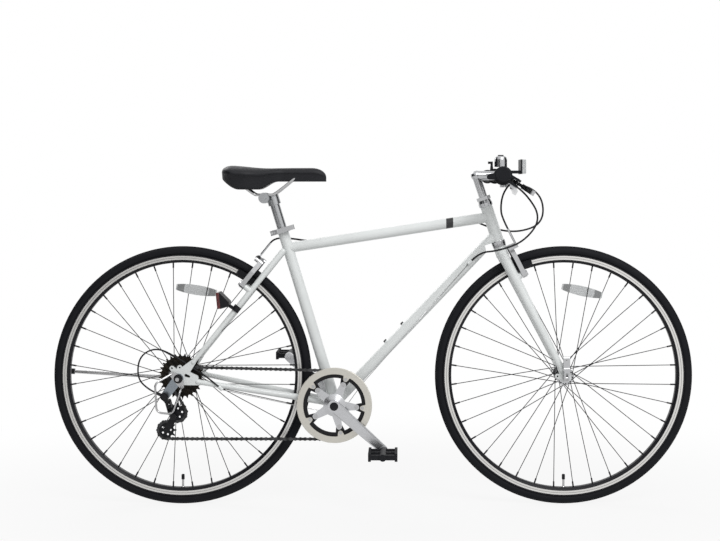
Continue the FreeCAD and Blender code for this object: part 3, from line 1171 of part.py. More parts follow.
def cranks(rollers):
    """Crank arms with spider and pedal axles, chainring, guard ring with its bolts, spindle with caps."""
    here = picture(BB.x, BB.z)
    turn = math.radians(CRANK_ANGLE)
    far = (CRANK_LENGTH * math.cos(turn), CRANK_LENGTH * math.sin(turn))
    ring_near = -CHAINRING_Y - TOOTH_THICK / 2
    ring_far = -CHAINRING_Y + TOOTH_THICK / 2
    spider_far = ring_far + 3.5
    guard_far = spider_far + 2.5
    spots = []
    for k in range(5):
        a = turn + math.pi * (2 * k + 1) / 5
        spots.append((math.cos(a), math.sin(a)))

    phase = gap_phase(rollers, (BB.x, BB.z), CHAINRING_TEETH)
    def on_circle(r, spot):
        return r * spot[0], r * spot[1]

    def through(r_hole):
        return [disc(*on_circle(BOLT_CIRCLE, s), r_hole, 20, 90) for s in spots]

    screw_holes = [disc(*on_circle(GUARD_BOLT_CIRCLE, s), 2.7, 20, 90) for s in spots]
    band = less(tooth_disc(CHAINRING_TEETH, phase, ring_near, ring_far),
                [disc(0, 0, CHAINRING_INNER, 0, 90)])
    tabs = [bar((*on_circle(CHAINRING_INNER, s), 12), (*on_circle(BOLT_CIRCLE, s), 8), ring_near, ring_far)
            for s in spots]
    save("chainring", here.put(less(joined([band] + tabs), through(4.2) + screw_holes)))

    guard_near = spider_far + 0.1
    guard = disc(0, 0, GUARD_RADIUS, guard_near, guard_far)
    guard = guard.makeFillet(1.2, [guard.Edges[0]])
    guard = less(guard, [disc(0, 0, GUARD_INNER, 0, 90)])
    tabs = [bar((*on_circle(GUARD_INNER + 4, s), 10), (*on_circle(GUARD_BOLT_CIRCLE, s), 6), guard_near,
                guard_far)
            for s in spots]
    bolts = []
    for spot in spots:
        screw = on_circle(GUARD_BOLT_CIRCLE, spot)
        bolts.append(here.put(joined([disc(*screw, 2.6, ring_near, guard_far),
                                      disc(*screw, 4.5, ring_far, guard_near),
                                      disc(*screw, 4.2, guard_far, guard_far + 1.5)])))
        nut = on_circle(BOLT_CIRCLE, spot)
        bolt = joined([disc(*nut, 4, ring_near, spider_far), disc(*nut, 5.6, spider_far, spider_far + 1.6),
                       disc(*nut, 5.6, ring_near - 1.6, ring_near)])
        bolts.append(here.put(less(bolt, [disc(*nut, 2.5, spider_far, spider_far + 2)])))
    save("chain_guard", here.put(less(joined([guard] + tabs), screw_holes)), *bolts)

    arm = bar((0, 0, 15.5), (*far, 11), CRANK_NEAR, CRANK_FAR)
    front_edges = [e for e in arm.Edges if all(abs(v.Z - CRANK_FAR) < 1e-6 for v in e.Vertexes)]
    arm = arm.makeChamfer(3.2, front_edges)
    hub = disc(0, 0, 16, ring_near, CRANK_FAR)
    legs = [bar((0, 0, 15), (*on_circle(BOLT_CIRCLE, s), 7.5), ring_far, spider_far) for s in spots]
    taper = Part.makeCone(29, 16, CRANK_NEAR - spider_far - 1, V(0, 0, spider_far))
    cap_hole = disc(0, 0, 11, 62, CRANK_FAR + 1)
    spindle_hole = disc(0, 0, SPINDLE_RADIUS, 0, 63)
    pedal_hole = disc(*far, 7.0, CRANK_NEAR - 1, CRANK_FAR + 1)
    right = less(joined([one(arm), hub, taper] + legs), through(4.2) + [cap_hole, spindle_hole, pedal_hole])
    left_arm = bar((0, 0, 15.5), (-far[0], -far[1], 11), -CRANK_FAR, -CRANK_NEAR)
    left_hub = disc(0, 0, 16, -CRANK_FAR, -ring_near - 3)
    left = less(joined([left_arm, left_hub]), [disc(0, 0, 11, -90, -62), disc(0, 0, SPINDLE_RADIUS, -63, 0),
                                               disc(-far[0], -far[1], 7.0, -90, 0)])
    axle = joined([disc(*far, 7.0, CRANK_NEAR + 1, CRANK_FAR), disc(*far, 9, CRANK_FAR, CRANK_FAR + 4),
                   disc(*far, PEDAL_AXLE, CRANK_FAR, PEDAL_FAR - 6)])
    right_axle = here.put(axle)
    left_axle = mirrored(right_axle)
    left_axle.translate(V(-2 * far[0], 0, -2 * far[1]))
    save("crank_arms", here.put(right), here.put(left), right_axle, left_axle)

    spindle = disc(0, 0, SPINDLE_RADIUS, -61.9, 61.9)
    caps = [disc(0, 0, 10.9, 62, CRANK_FAR + 0.4), disc(0, 0, 10.9, -CRANK_FAR - 0.4, -62)]
    save("crank_spindle", here.put(spindle), *[here.put(c) for c in caps])
    points = {}
    for name, way, side in (("pedal_right", 1, 1), ("pedal_left", -1, -1)):
        at = V(BB.x + way * far[0], 0, BB.z + way * far[1])
        body = pedal()
        body = body if side > 0 else mirrored(body)
        body.translate(at)
        save(name, body)
        points[name + "_at"] = at
    return points


def pedal():
    """Platform of the right pedal around its axle, with toothed edges and open windows."""
    here = picture(0, 0)
    n, f = PEDAL_NEAR, PEDAL_FAR
    plates = []
    for side in (1, -1):
        x0, x1 = sorted((side * 30, side * 37))
        plates.append(box(x0, x1, -10, 10, n + 6, f - 4))
    webs = [box(-36, 36, -6.5, 6.5, z, z + 6) for z in (n + 6, (n + f) / 2 - 2, f - 10)]
    barrel = disc(0, 0, 9, n, f)
    bore = disc(0, 0, PEDAL_AXLE + RUNNING, n - 1, f - 5.5)
    notches = []
    for side in (1, -1):
        for k in range(7):
            z = n + 13 + k * 11.4
            low, high = sorted((side * 7.5, side * 11))
            notches.append(box(-40, -29, low, high, z, z + 6))
            notches.append(box(29, 40, low, high, z, z + 6))
    body = less(joined(plates + webs + [barrel]), [bore])
    cutter = Part.makeCompound(notches)
    return here.put(one(body.cut(cutter)))


def derailleur(cage_angle, rollers):
    """Hanger and fixed knuckle, two links, moving knuckle, cage with both pulleys, and wire guard."""
    hanger = picture(*HANGER_AT)
    rear = picture(REAR.x, REAR.z)
    far = DROPOUT_FAR
    outside = far + HANGER_PLATE
    to_hanger = (HANGER_AT[0] - REAR.x, HANGER_AT[1] - REAR.z)
    plate = rear.put(less(bar((0, 0, 13), (*to_hanger, 11), far, outside),
                          [disc(0, 0, AXLE_RADIUS + 0.1, 0, 99), disc(*to_hanger, 6.0, 0, 99)]))

    # The links lie along e between root and tip, and swing sideways about u.
    pivot = (GUIDE_AT[0] + CAGE_PIVOT[0], GUIDE_AT[1] + CAGE_PIVOT[1])
    span = V(pivot[0] - HANGER_AT[0], 0, pivot[1] - HANGER_AT[1])
    e = unit(span)
    u = V(0, 1, 0).cross(e)
    rest = math.radians(LINK_REST)
    length = (span.Length - ROOT_OFF - TIP_OFF) / math.cos(rest)
    root = V(HANGER_AT[0], 0, HANGER_AT[1]) + e * ROOT_OFF
    tip = V(pivot[0], 0, pivot[1]) - e * TIP_OFF
    fixed_y = -KNUCKLE_Y + length * math.sin(rest)
    fixed = [V(root.x, fixed_y + way * LINK_APART / 2, root.z) for way in (-1, 1)]
    moving = [V(tip.x, -KNUCKLE_Y + way * LINK_APART / 2, tip.z) for way in (-1, 1)]
    print("derailleur link length %.2f, sideways travel %.2f" % (length, 2 * length * math.sin(rest)))

    def spine(at, y0, y1):
        return Axes(V(at.x, 0, at.z), V(0, 1, 0),
                    u).put(bar((y0, 0, 5.2), (y1, 0, 5.2), -LINK_LOW, LINK_LOW))

    def pivot_pins(spots):
        return [rod(p - u * (LINK_HIGH + 0.8), p + u * (LINK_HIGH + 0.8), LINK_PIN) for p in spots]

    stack = hanger.put(disc(0, 0, 10, outside + 0.1, outside + 12))
    bolt = hanger.put(disc(0, 0, 5.9, far - 3, outside + 15))
    bolt_head = hanger.put(disc(0, 0, 8, outside + 12, outside + 15))
    hang = hanger.put(bar((0, 0, 9), (e.x * ROOT_OFF, e.z * ROOT_OFF, LINK_LOW), outside + 1.0,
                          outside + 11))
    spout = rod(SPOUT_END - SPOUT_DIR * 20, SPOUT_END, 4.0)
    spout_hole = rod(SPOUT_END - SPOUT_DIR * 4, SPOUT_END + SPOUT_DIR * 4, CABLE_RADIUS)
    body = less(joined([stack, hang, spine(root, -outside - 6, fixed[1].y), spout]), [spout_hole])
    save("derailleur_body", joined([body, bolt, bolt_head] + pivot_pins(fixed)), plate)

    for name, a, b, side in (("derailleur_outer_link", fixed[0], moving[0], -1),
                             ("derailleur_inner_link", fixed[1], moving[1], 1)):
        flat = Axes(a, b - a, u)
        low, high = LINK_LOW + GAP, LINK_HIGH
        cheeks = [bar((0, 0, 5), (length, 0, 5), low, high), bar((0, 0, 5), (length, 0, 5), -high, -low)]
        near, wall = sorted((side * 2.2, side * 4.8)) if flat.y.y > 0 else sorted((-side * 2.2,
                                                                                   -side * 4.8))
        tie = box(10, length - 10, near, wall, -high, high)
        holes = [disc(x, 0, LINK_PIN + RUNNING, -20, 20) for x in (0, length)]
        save(name, flat.put(less(joined(cheeks + [tie]), holes)))

    mid = -SPROCKET_Y
    near, wall = CAGE_FAR - 1.8, CAGE_FAR
    at = picture(*pivot)
    housing = at.put(disc(0, 0, 8, mid + wall + GAP, KNUCKLE_Y + 6))
    neck = at.put(bar((-e.x * TIP_OFF, -e.z * TIP_OFF, LINK_LOW), (0, 0, LINK_LOW), KNUCKLE_Y - 8,
                      KNUCKLE_Y + 6))
    axle = at.put(disc(0, 0, 3.5, mid + near + 0.1, mid + wall + 2))
    save("derailleur_knuckle", joined([spine(tip, moving[0].y, moving[1].y), neck, housing, axle]
                                      + pivot_pins(moving)))

    turn = math.radians(cage_angle)
    guide = (0.0, 0.0)
    tension = (CAGE_LENGTH * math.cos(turn), CAGE_LENGTH * math.sin(turn))
    cage_at = picture(*GUIDE_AT)
    outer = joined([bar((*guide, 7.5), (*tension, 7.5), mid + near, mid + wall),
                    bar((*guide, 7.5), (*CAGE_PIVOT, 8), mid + near, mid + wall),
                    bar((*tension, 7.5), (*CAGE_PIVOT, 8), mid + near, mid + wall)])
    outer = less(outer, [disc(*CAGE_PIVOT, 3.5 + RUNNING, 0, 120)])
    inner = bar((*guide, 7.5), (*tension, 7.5), mid - wall, mid - near)
    bolts = [joined([disc(*spot, 2.5, mid - wall - 1.5, mid + wall),
                     disc(*spot, 4.5, mid - wall - 1.5, mid - wall)])
             for spot in (guide, tension)]
    bolts.append(disc(*tension, 4.5, mid + wall, mid + wall + 1.5))
    save("derailleur_cage", cage_at.put(joined([outer, inner] + bolts)))
    centres = {"guide_pulley": GUIDE_AT,
               "tension_pulley": (GUIDE_AT[0] + tension[0], GUIDE_AT[1] + tension[1])}
    for name, centre in centres.items():
        wheel_at = picture(*centre)
        phase = gap_phase(rollers, centre, PULLEY_TEETH)
        teeth = tooth_disc(PULLEY_TEETH, phase, mid - TOOTH_THICK / 2, mid + TOOTH_THICK / 2)
        boss = disc(0, 0, 6, mid - near + GAP, mid + near - GAP)
        holes = [disc(0, 0, 2.5 + RUNNING, 0, 99)]
        for k in range(5):
            a = phase + math.pi / 5 + 2 * math.pi * k / 5
            holes.append(disc(11.5 * math.cos(a), 11.5 * math.sin(a), 2.6, 0, 99))
        save(name, wheel_at.put(less(joined([teeth, boss]), holes)))

    tab = joined([bar((0, 0, 12), (9, -20, 6), outside, outside + GUARD_PLATE),
                  bar((0, 0, 12), (-17, 12, 6), outside, outside + GUARD_PLATE)])
    tab = rear.put(less(tab, [disc(0, 0, AXLE_RADIUS + 0.1, 0, 120)]))
    y = -outside - 1
    loop = cable([V(REAR.x + 9, y, REAR.z - 20), V(REAR.x + 9, y - GUARD_OUT, REAR.z - 28),
                  V(-513, y - GUARD_OUT, 252), V(-553, y - GUARD_OUT, 256), V(-557, y - GUARD_OUT, 330),
                  V(REAR.x - 17, y, REAR.z + 12)], 15, 2.6)
    save("derailleur_guard", joined([tab, loop]))
    return {
        "link_root_outer": fixed[0], "link_root_inner": fixed[1], "link_axis": u, "knuckle_at": moving[0],
        "cage_pivot": V(pivot[0], SPROCKET_Y, pivot[1]),
        "guide_at": V(GUIDE_AT[0], SPROCKET_Y, GUIDE_AT[1]),
        "tension_at": V(centres["tension_pulley"][0], SPROCKET_Y, centres["tension_pulley"][1]),
    }


def brake_arm(axes, side, noodle):
    """Linear-pull arm on one side (+1 or -1 of local y) with its pad, in world axes."""
    def bar_yz(start, end, x0, x1):
        plane = Axes(V(x0, 0, 0), V(0, 1, 0), V(1, 0, 0))
        return plane.put(bar((side * start[0], start[1], start[2]), (side * end[0], end[1], end[2]), 0,
                             x1 - x0))

    y, up = BRAKE_PIVOT_Y, BRAKE_PIVOT_UP
    parts = [
        bar_yz((y, up, 9.5), (y + 4, up + 42, 8), ARM_NEAR, ARM_FAR),
        bar_yz((y + 4, up + 42, 8), (y - 3, NOODLE_TURN, 6.5), ARM_NEAR, ARM_FAR),
        Part.makeCylinder(7, 4, V(ARM_FAR, side * y, up), V(1, 0, 0)),
    ]
    bore = Part.makeCylinder(BRAKE_PIN_RADIUS + RUNNING, ARM_FAR - ARM_NEAR + 1,
                             V(ARM_NEAR - 1, side * y, up),
                             V(1, 0, 0))
    pad_up = up + 21.0
    face = RIM_WIDTH / 2 + PAD_CLEAR
    post = Part.makeCylinder(4.0, y - face - 9, V(26, side * (face + 10), pad_up), V(0, side, 0))
    parts.append(post)
    if noodle:
        hook = box(ARM_FAR - 6, NOODLE_AHEAD + 4, -5, 5, NOODLE_TURN - 5, NOODLE_TURN + 5)
        hook.translate(V(0, side * (y - 8), 0))
        turn = [V(NOODLE_AHEAD, side * (y - 2), NOODLE_TOP), V(NOODLE_AHEAD, side * (y - 2), NOODLE_TURN),
                V(NOODLE_AHEAD, side * 16, NOODLE_TURN)]
        parts += [hook, cable(turn, 12, NOODLE_RADIUS)]
    else:
        parts.append(Part.makeCylinder(5.5, NOODLE_AHEAD + 2 - ARM_FAR,
                                       V(ARM_FAR - 1, side * (y - 3), NOODLE_TURN),
                                       V(1, 0, 0)))
    arm = less(joined(parts), [bore])
    middle = math.degrees(math.atan2(26, pad_up))
    radius = math.hypot(26, pad_up)
    start = math.radians(90 - middle - 6.2)
    wide = math.radians(12.4)

    def sector(r):
        a, b, c = start, start + wide / 2, start + wide
        spots = [V(r * math.cos(t), 0, r * math.sin(t)) for t in (a, b, c)]
        return spots

    low, high = sector(radius - 5.5), sector(radius + 5.0)
    edges = [Part.Arc(*low), Part.LineSegment(low[2], high[2]), Part.Arc(high[2], high[1], high[0]),
             Part.LineSegment(high[0], low[0])]
    pad = Part.Face(Part.Wire([e.toShape() for e in edges])).extrude(V(0, side * 10, 0))
    pad.translate(V(0, side * face, 0))
    return axes.put(arm), axes.put(one(pad))


def brakes():
    """Four brake arms with pads; the noodle sits on the arm its cable reaches."""
    for name, axes, side, noodle in (
        ("front_brake_arm_right", FORK, -1, True),
        ("front_brake_arm_left", FORK, 1, False),
        ("rear_brake_arm_right", STAY, 1, False),
        ("rear_brake_arm_left", STAY, -1, True),
    ):
        save(name, *brake_arm(axes, side, noodle))


def pull_wire(axes, side):
    """Bare wire between the arm tops with its ribbed rubber boot."""
    end = BRAKE_PIVOT_Y - 9
    a = axes.at(NOODLE_AHEAD, side * 15.8, NOODLE_TURN)
    b = axes.at(NOODLE_AHEAD, -side * end, NOODLE_TURN)
    steps = 5
    profile = [(0.9, 0.0)]
    for k in range(steps):
        profile += [(4.5, k * 5.0 + 0.2), (6.0 - k * 0.4, k * 5.0 + 2.5), (4.3 - k * 0.2, k * 5.0 + 4.8)]
    profile.append((0.9, steps * 5.0))
    boot = turned(profile, Axes(a, axes.x, b - a))
    return joined([rod(a, b, 1.0), boot])


def cables(points):
    """Every held cable along its route, and the wires between the brake arms."""
    barrel = points["barrel"]
    inward = points["bar_in"]
    noodle_in = FORK.at(NOODLE_AHEAD, -(BRAKE_PIVOT_Y - 2), NOODLE_TOP + 0.1)
    front = cable([barrel, barrel + inward * 38, V(338, -52, 803), noodle_in + FORK.z * 36, noodle_in],
                  20, CABLE_RADIUS)
    save("front_brake_cable", front, pull_wire(FORK, -1))

    left = V(barrel.x, -barrel.y, barrel.z)
    left_in = V(inward.x, -inward.y, inward.z)
    clip = brake_run(CABLE_CLIPS[2] + 5)
    loop = [left, left + left_in * 45, V(448, 42, 822), V(455, 34, 738), V(380, 27, 711), V(300, 28, 728),
            clip + TOP_DIR * 36, clip]
    save("rear_brake_cable", cable(loop, 24, CABLE_RADIUS))

    spout = points["spout"]
    meet = SHIFT_STOP + DOWN_DIR * 4.5
    shift = [spout, spout + points["spout_ahead"] * 30, V(437, -66, 752), V(395, -60, 690),
             V(328, -50, 668),
             meet + DOWN_DIR * 30, meet]
    save("shift_cable", cable(shift, 24, CABLE_RADIUS))

    noodle_in = STAY.at(NOODLE_AHEAD, -(BRAKE_PIVOT_Y - 2), NOODLE_TOP + 0.1)
    tail = cable([clip, brake_run(CABLE_CLIPS[0] - 12), V(-222, 27, 698), noodle_in + STAY.z * 16,
                  noodle_in],
                 12, CABLE_RADIUS)
    wire = cable([SHIFT_STOP - DOWN_DIR * 8.3, BB + DOWN_DIR * 90 - DOWN_UP * 16.5 + V(0, -9, 0),
                  BB + V(20, -12, -20), BB + V(-16, -20, -24), CHAIN_STOP - CHAIN_STOP_DIR * 9.8], 9, 0.8)
    housing = cable([CHAIN_STOP, CHAIN_STOP + CHAIN_STOP_DIR * 45, V(-459, -64.3, 358), V(-515, -64.3, 396),
                     V(-555, -74, 414), V(-593, -82, 392), V(-600, -84, 345), SPOUT_END + SPOUT_DIR * 22,
                     SPOUT_END - SPOUT_DIR * 3], 22, 2.1)
    save("rear_cables", tail, wire, housing, pull_wire(STAY, -1))


def kickstand():
    """Axle bracket with its pivot pin, and the folded leg with a rubber foot."""
    here = picture(REAR.x, REAR.z)
    y0 = DROPOUT_FAR
    y1 = DROPOUT_FAR + KICK_PLATE
    pivot = V(-540.0, y1, 317.0)
    to_pivot = (pivot.x - REAR.x, pivot.z - REAR.z)
    plate = crosswise(here, lambda a, b: bar((0, 0, 15), (*to_pivot, 13), a, b), y0, y1)
    plate = less(plate, [crosswise(here, lambda a, b: disc(0, 0, AXLE_RADIUS + 0.1, a - 1, b + 1), y0, y1)])
    splay = math.radians(KICKSTAND_SPLAY)
    out = V(0, math.cos(splay), math.sin(splay))
    along = V(-294, 0, 20)
    at = Axes(pivot, along - out * along.dot(out), out)
    pin = at.put(disc(0, 0, 5, -3, 19))
    cap = at.put(disc(0, 0, 9, 17 + GAP, 20))
    save("kickstand_bracket", joined([plate, pin, cap]))
    knuckle = disc(0, 0, 11, 3.5, 17)
    leg = rod(V(0, 0, 10), V(276, 0, 10), 5.0)
    foot = joined([rod(V(268, 0, 10), V(286, 0, 10), 7.5), ball(V(286, 0, 10), 7.5)])
    save("kickstand_leg", at.put(less(joined([knuckle, leg, foot]), [disc(0, 0, 5 + RUNNING, 0, 40)])))
    return {"kick_at": at.at(0, 0, 10), "kick_axis": out * -1}


def rear_reflector():
    """Red reflector in a black shell, strapped to the right seat stay."""
    down = math.radians(6)
    centre = V(-389.0, -66.0, 542.5)
    at = Axes(centre, V(-math.cos(down), 0, -math.sin(down)), V(-math.sin(down), 0, math.cos(down)))
    corners = [V(4, -24, 21), V(4, -24, -22), V(-17, -24, -18), V(-19, -24, -7), V(4, -24, 21)]
    shell = Part.Face(Part.makePolygon(corners)).extrude(V(0, 48, 0))
    lens = box(4.1, 13, -23, 23, -21.5, 20.5)
    lens = lens.makeFillet(3, [e for e in lens.Edges if all(abs(v.X - 13) < 1e-6 for v in e.Vertexes)])
    share = (STAY_TOP.z - 517.0) / (STAY_TOP.z - STAY_FOOT.z)
    spot = STAY_TOP + (STAY_FOOT - STAY_TOP) * share
    spot = V(spot.x, -spot.y, spot.z)
    along = unit(V(STAY_FOOT.x - STAY_TOP.x, -(STAY_FOOT.y - STAY_TOP.y), STAY_FOOT.z - STAY_TOP.z))
    stay_r = 8.0 - 2.0 * share
    band = rod(spot - along * 8, spot + along * 8, stay_r + 3)
    bore = rod(spot - along * 20, spot + along * 20, stay_r + 0.25)
    arm = rod(spot + V(-8, -3, 2), centre + V(11, 4, -12), 4.5)
    holder = less(joined([band, arm, at.put(one(shell))]), [bore])
    save("rear_reflector", holder, at.put(one(lens)))


def build():
    """Make and write every node, then print the points that the joints use."""
    points = {}
    frame_tubes()
    rear_stays()
    frame_fittings()
    points.update(seat_clamp())
    seat()
    fork()
    stem_and_bar()
    points.update(hand_controls())
    points.update(bar_fittings())
    front_hub = hub_outline(FRONT_FLANGES, FRONT_HOLE_CIRCLE, 11.0, FRONT_SPACING / 2 - 6,
                            -FRONT_SPACING / 2 + 6,
                            12.0, 12.0)
    wheel("front", FRONT, FRONT_FLANGES, FRONT_HOLE_CIRCLE, front_hub, 77.5, (-4.9, 4.9))
    rear_hub = hub_outline(REAR_FLANGES, REAR_HOLE_CIRCLE, 15.0, REAR_LEFT_END, REAR_RIGHT_END, 13.0,
                           FREEWHEEL_SEAT)
    wheel("rear", REAR, REAR_FLANGES, REAR_HOLE_CIRCLE, rear_hub, 81.0, (-1.6, 5.2))
    points.update(axles())
    cage_angle, rollers = fitted_chain()
    chain(rollers)
    freewheel(rollers)
    points.update(cranks(rollers))
    points.update(derailleur(cage_angle, rollers))
    brakes()
    cables(points)
    points.update(kickstand())
    rear_reflector()
    points.update({"bb": BB, "rear": REAR, "front": FRONT, "steer": STEER.at(0, 0, 437),
                   "steer_axis": STEER_DIR,
                   "seat_top": SEAT_TOP, "seat_axis": SEAT_DIR, "fork_x": FORK.x, "stay_x": STAY.x,
                   "front_boss_left": FORK.at(26, BRAKE_PIVOT_Y, BRAKE_PIVOT_UP),
                   "front_boss_right": FORK.at(26, -BRAKE_PIVOT_Y, BRAKE_PIVOT_UP),
                   "rear_boss_right": STAY.at(26, BRAKE_PIVOT_Y, BRAKE_PIVOT_UP),
                   "rear_boss_left": STAY.at(26, -BRAKE_PIVOT_Y, BRAKE_PIVOT_UP),
                   "down_dir": DOWN_DIR, "down_up": DOWN_UP})
    for along in BOSS_ALONG_DOWN_TUBE:
        points["bottle_%d" % along] = BB + DOWN_DIR * along + DOWN_UP * (MAIN_TUBE_RADIUS + 5.5)
    for name, p in sorted(points.items()):
        print("point %s %.4f %.4f %.4f" % (name, p.x, p.y, p.z))


build()
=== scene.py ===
"""Looks of the hybrid bicycle: its finishes, soft and rubber pieces, small hardware, light and camera."""

import logging
import math
from collections.abc import Callable, Sequence
from dataclasses import dataclass
from enum import Enum

import bmesh
import bpy
from bpy.types import ID, Curve, Material, Mesh, NodeSocket, NodeTree, Object
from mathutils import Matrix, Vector


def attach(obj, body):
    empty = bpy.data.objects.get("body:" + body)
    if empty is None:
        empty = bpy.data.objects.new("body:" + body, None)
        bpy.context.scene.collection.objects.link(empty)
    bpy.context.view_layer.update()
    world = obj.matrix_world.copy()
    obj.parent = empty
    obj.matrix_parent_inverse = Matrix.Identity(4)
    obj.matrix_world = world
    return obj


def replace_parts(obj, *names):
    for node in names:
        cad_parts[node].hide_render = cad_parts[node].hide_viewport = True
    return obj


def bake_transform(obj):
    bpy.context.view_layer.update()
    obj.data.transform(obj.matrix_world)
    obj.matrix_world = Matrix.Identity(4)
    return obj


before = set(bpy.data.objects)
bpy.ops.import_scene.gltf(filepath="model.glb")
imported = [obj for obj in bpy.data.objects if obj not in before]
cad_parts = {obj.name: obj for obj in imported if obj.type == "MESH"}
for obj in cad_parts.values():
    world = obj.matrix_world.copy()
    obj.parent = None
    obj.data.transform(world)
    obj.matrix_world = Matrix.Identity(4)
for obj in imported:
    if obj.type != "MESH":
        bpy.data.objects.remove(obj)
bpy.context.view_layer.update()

LOG = logging.getLogger("bicycle")
MM = 0.001
Point = tuple[float, float, float]
Colour = tuple[float, float, float]
PartTest = Callable[[Vector, Vector], bool]

FRONT_HUB = Vector((0.5015, 0.0, 0.339))
REAR_HUB = Vector((-0.5015, 0.0, 0.339))


class Slot(Enum):
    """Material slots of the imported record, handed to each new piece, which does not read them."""

    TYRE = "tyre"
    RUBBER = "black_rubber"
    SADDLE = "saddle_cover"
    STEEL = "bright_steel"


def metres(lengths: Sequence[float]) -> tuple[float, ...]:
    """Millimetres turned into metres."""
    return tuple(c * MM for c in lengths)


def operator(operation: str, reflected: bool = False) -> Callable[["Wire", "Wire | float"], "Wire"]:
    """Operator of two shader values.

    Args:
        operation: The Math node's operation.
        reflected: True where the wire stands on the right.

    Returns:
        A method that adds one Math node and gives its result.
    """

    def method(self: "Wire", other: "Wire | float") -> "Wire":
        """Add the Math node."""
        first, second = (other, self) if reflected else (self, other)
        return self.graph.node("ShaderNodeMath", {"operation": operation}, {0: first, 1: second})

    return method


class Wire:
    """A shader socket that takes part in Python sums, each of which adds one Math node."""

    def __init__(self, graph: "Graph", socket: NodeSocket) -> None:
        """Keep the graph and the socket."""
        self.graph = graph
        self.socket = socket

    __add__ = operator("ADD")
    __radd__ = operator("ADD", reflected=True)
    __sub__ = operator("SUBTRACT")
    __rsub__ = operator("SUBTRACT", reflected=True)
    __mul__ = operator("MULTIPLY")
    __rmul__ = operator("MULTIPLY", reflected=True)
    __truediv__ = operator("DIVIDE")
    __rtruediv__ = operator("DIVIDE", reflected=True)
    __pow__ = operator("POWER")
    __gt__ = operator("GREATER_THAN")
    __lt__ = operator("LESS_THAN")
    larger = operator("MAXIMUM")

    def __abs__(self) -> "Wire":
        """Size of a value."""
        return self.graph.node("ShaderNodeMath", {"operation": "ABSOLUTE"}, {0: self})

    def sine(self) -> "Wire":
        """Sine of an angle in radians."""
        return self.graph.node("ShaderNodeMath", {"operation": "SINE"}, {0: self})


class Graph:
    """Node tree that takes wires and values."""

    def __init__(self, tree: NodeTree) -> None:
        """Start with an empty tree."""
        self.tree = tree
        self.tree.nodes.clear()

    def feed(self, socket: NodeSocket, value: object) -> None:
        """Link a wire to a socket, or set the socket's own value.

        Args:
            socket: The input socket.
            value: A wire, or a plain value, where a colour may have three numbers.
        """
        if isinstance(value, Wire):
            self.tree.links.new(value.socket, socket)
        elif isinstance(value, tuple) and len(value) == 3 and socket.type == "RGBA":
            socket.default_value = (*value, 1.0)
        else:
            socket.default_value = value

    def node(self, kind: str, settings: dict | None = None, inputs: dict | None = None,
             out: int | str = 0) -> Wire:
        """Add any node.

        Args:
            kind: The node's type.
            settings: Values of its own settings, which are set first.
            inputs: Values or wires of its sockets, by name or number.
            out: Output to return, by name or number.

        Returns:
            The chosen output.
        """
        made = self.tree.nodes.new(kind)
        for key, value in (settings or {}).items():
            setattr(made, key, value)
        for key, value in (inputs or {}).items():
            self.feed(made.inputs[key], value)
        return Wire(self, made.outputs[out])

    def place(self, scale: Point = (1, 1, 1), centre: Point = (0, 0, 0), turn: Point = (0, 0, 0)) -> Wire:
        """Object coordinates, moved, then turned and stretched.

        Args:
            scale: How far each axis is stretched.
            centre: The place that becomes the origin.
            turn: Angles about the axes, in radians.

        Returns:
            The coordinates as a vector.
        """
        at = self.node("ShaderNodeTexCoord", out="Object")
        moved = self.node("ShaderNodeVectorMath", {"operation": "SUBTRACT"}, {0: at, 1: centre})
        return self.node("ShaderNodeMapping", {}, {"Vector": moved, "Rotation": turn, "Scale": scale})

    def axes(self, vector: Wire) -> tuple[Wire, Wire, Wire]:
        """The three numbers of a vector."""
        split = self.node("ShaderNodeSeparateXYZ", {}, {0: vector}).socket.node
        return tuple(Wire(self, number) for number in split.outputs)

    def noise(self, vector: Wire, scale: float, detail: float = 2.0, roughness: float = 0.5) -> Wire:
        """Smooth random value between nought and one."""
        return self.node("ShaderNodeTexNoise", {},
                         {"Vector": vector, "Scale": scale, "Detail": detail, "Roughness": roughness})

    def cells(self, vector: Wire, scale: float, feature: str = "F1") -> Wire:
        """Distance in a pattern of cells."""
        return self.node("ShaderNodeTexVoronoi", {"feature": feature}, {"Vector": vector, "Scale": scale},
                         "Distance")

    def ease(self, value: Wire, low: float, high: float, start: float = 0.0, end: float = 1.0) -> Wire:
        """Smooth step from start at low to end at high."""
        return self.node("ShaderNodeMapRange", {"interpolation_type": "SMOOTHSTEP"},
                         {"Value": value, "From Min": low, "From Max": high, "To Min": start, "To Max": end})

    def blend(self, share: Wire, first: "Wire | Colour", second: "Wire | Colour") -> Wire:
        """Mix of two colours."""
        return self.node("ShaderNodeMix", {"data_type": "RGBA"}, {0: share, 6: first, 7: second}, 2)

    def bump(self, height: Wire, depth: float, strength: float = 1.0) -> Wire:
        """Normal of a surface raised by height times depth in metres."""
        return self.node("ShaderNodeBump", {}, {"Height": height, "Distance": depth, "Strength": strength})

    def about_axle(self, hub: Vector) -> tuple[Wire, Wire, Wire]:
        """Distance from a cross axle, and the places forward of it and above it."""
        x, _, z = self.axes(self.place(centre=tuple(hub)))
        return (x * x + z * z) ** 0.5, x, z


class MaterialGraph(Graph):
    """Node tree of one material, ending in a principled shader."""

    def __init__(self, name: str) -> None:
        """Start a material with its shader and output.

        Args:
            name: The material's name.
        """
        self.material = bpy.data.materials.new(name)
        self.material.use_nodes = True
        super().__init__(self.material.node_tree)
        self.shader = self.tree.nodes.new("ShaderNodeBsdfPrincipled")
        self.output = self.tree.nodes.new("ShaderNodeOutputMaterial")
        self.tree.links.new(self.shader.outputs[0], self.output.inputs[0])

    def surface(self, **values: object) -> None:
        """Set or link the shader's sockets, named with underscores."""
        for key, value in values.items():
            self.feed(self.shader.inputs[key.replace("_", " ").title().replace("Ior", "IOR")], value)


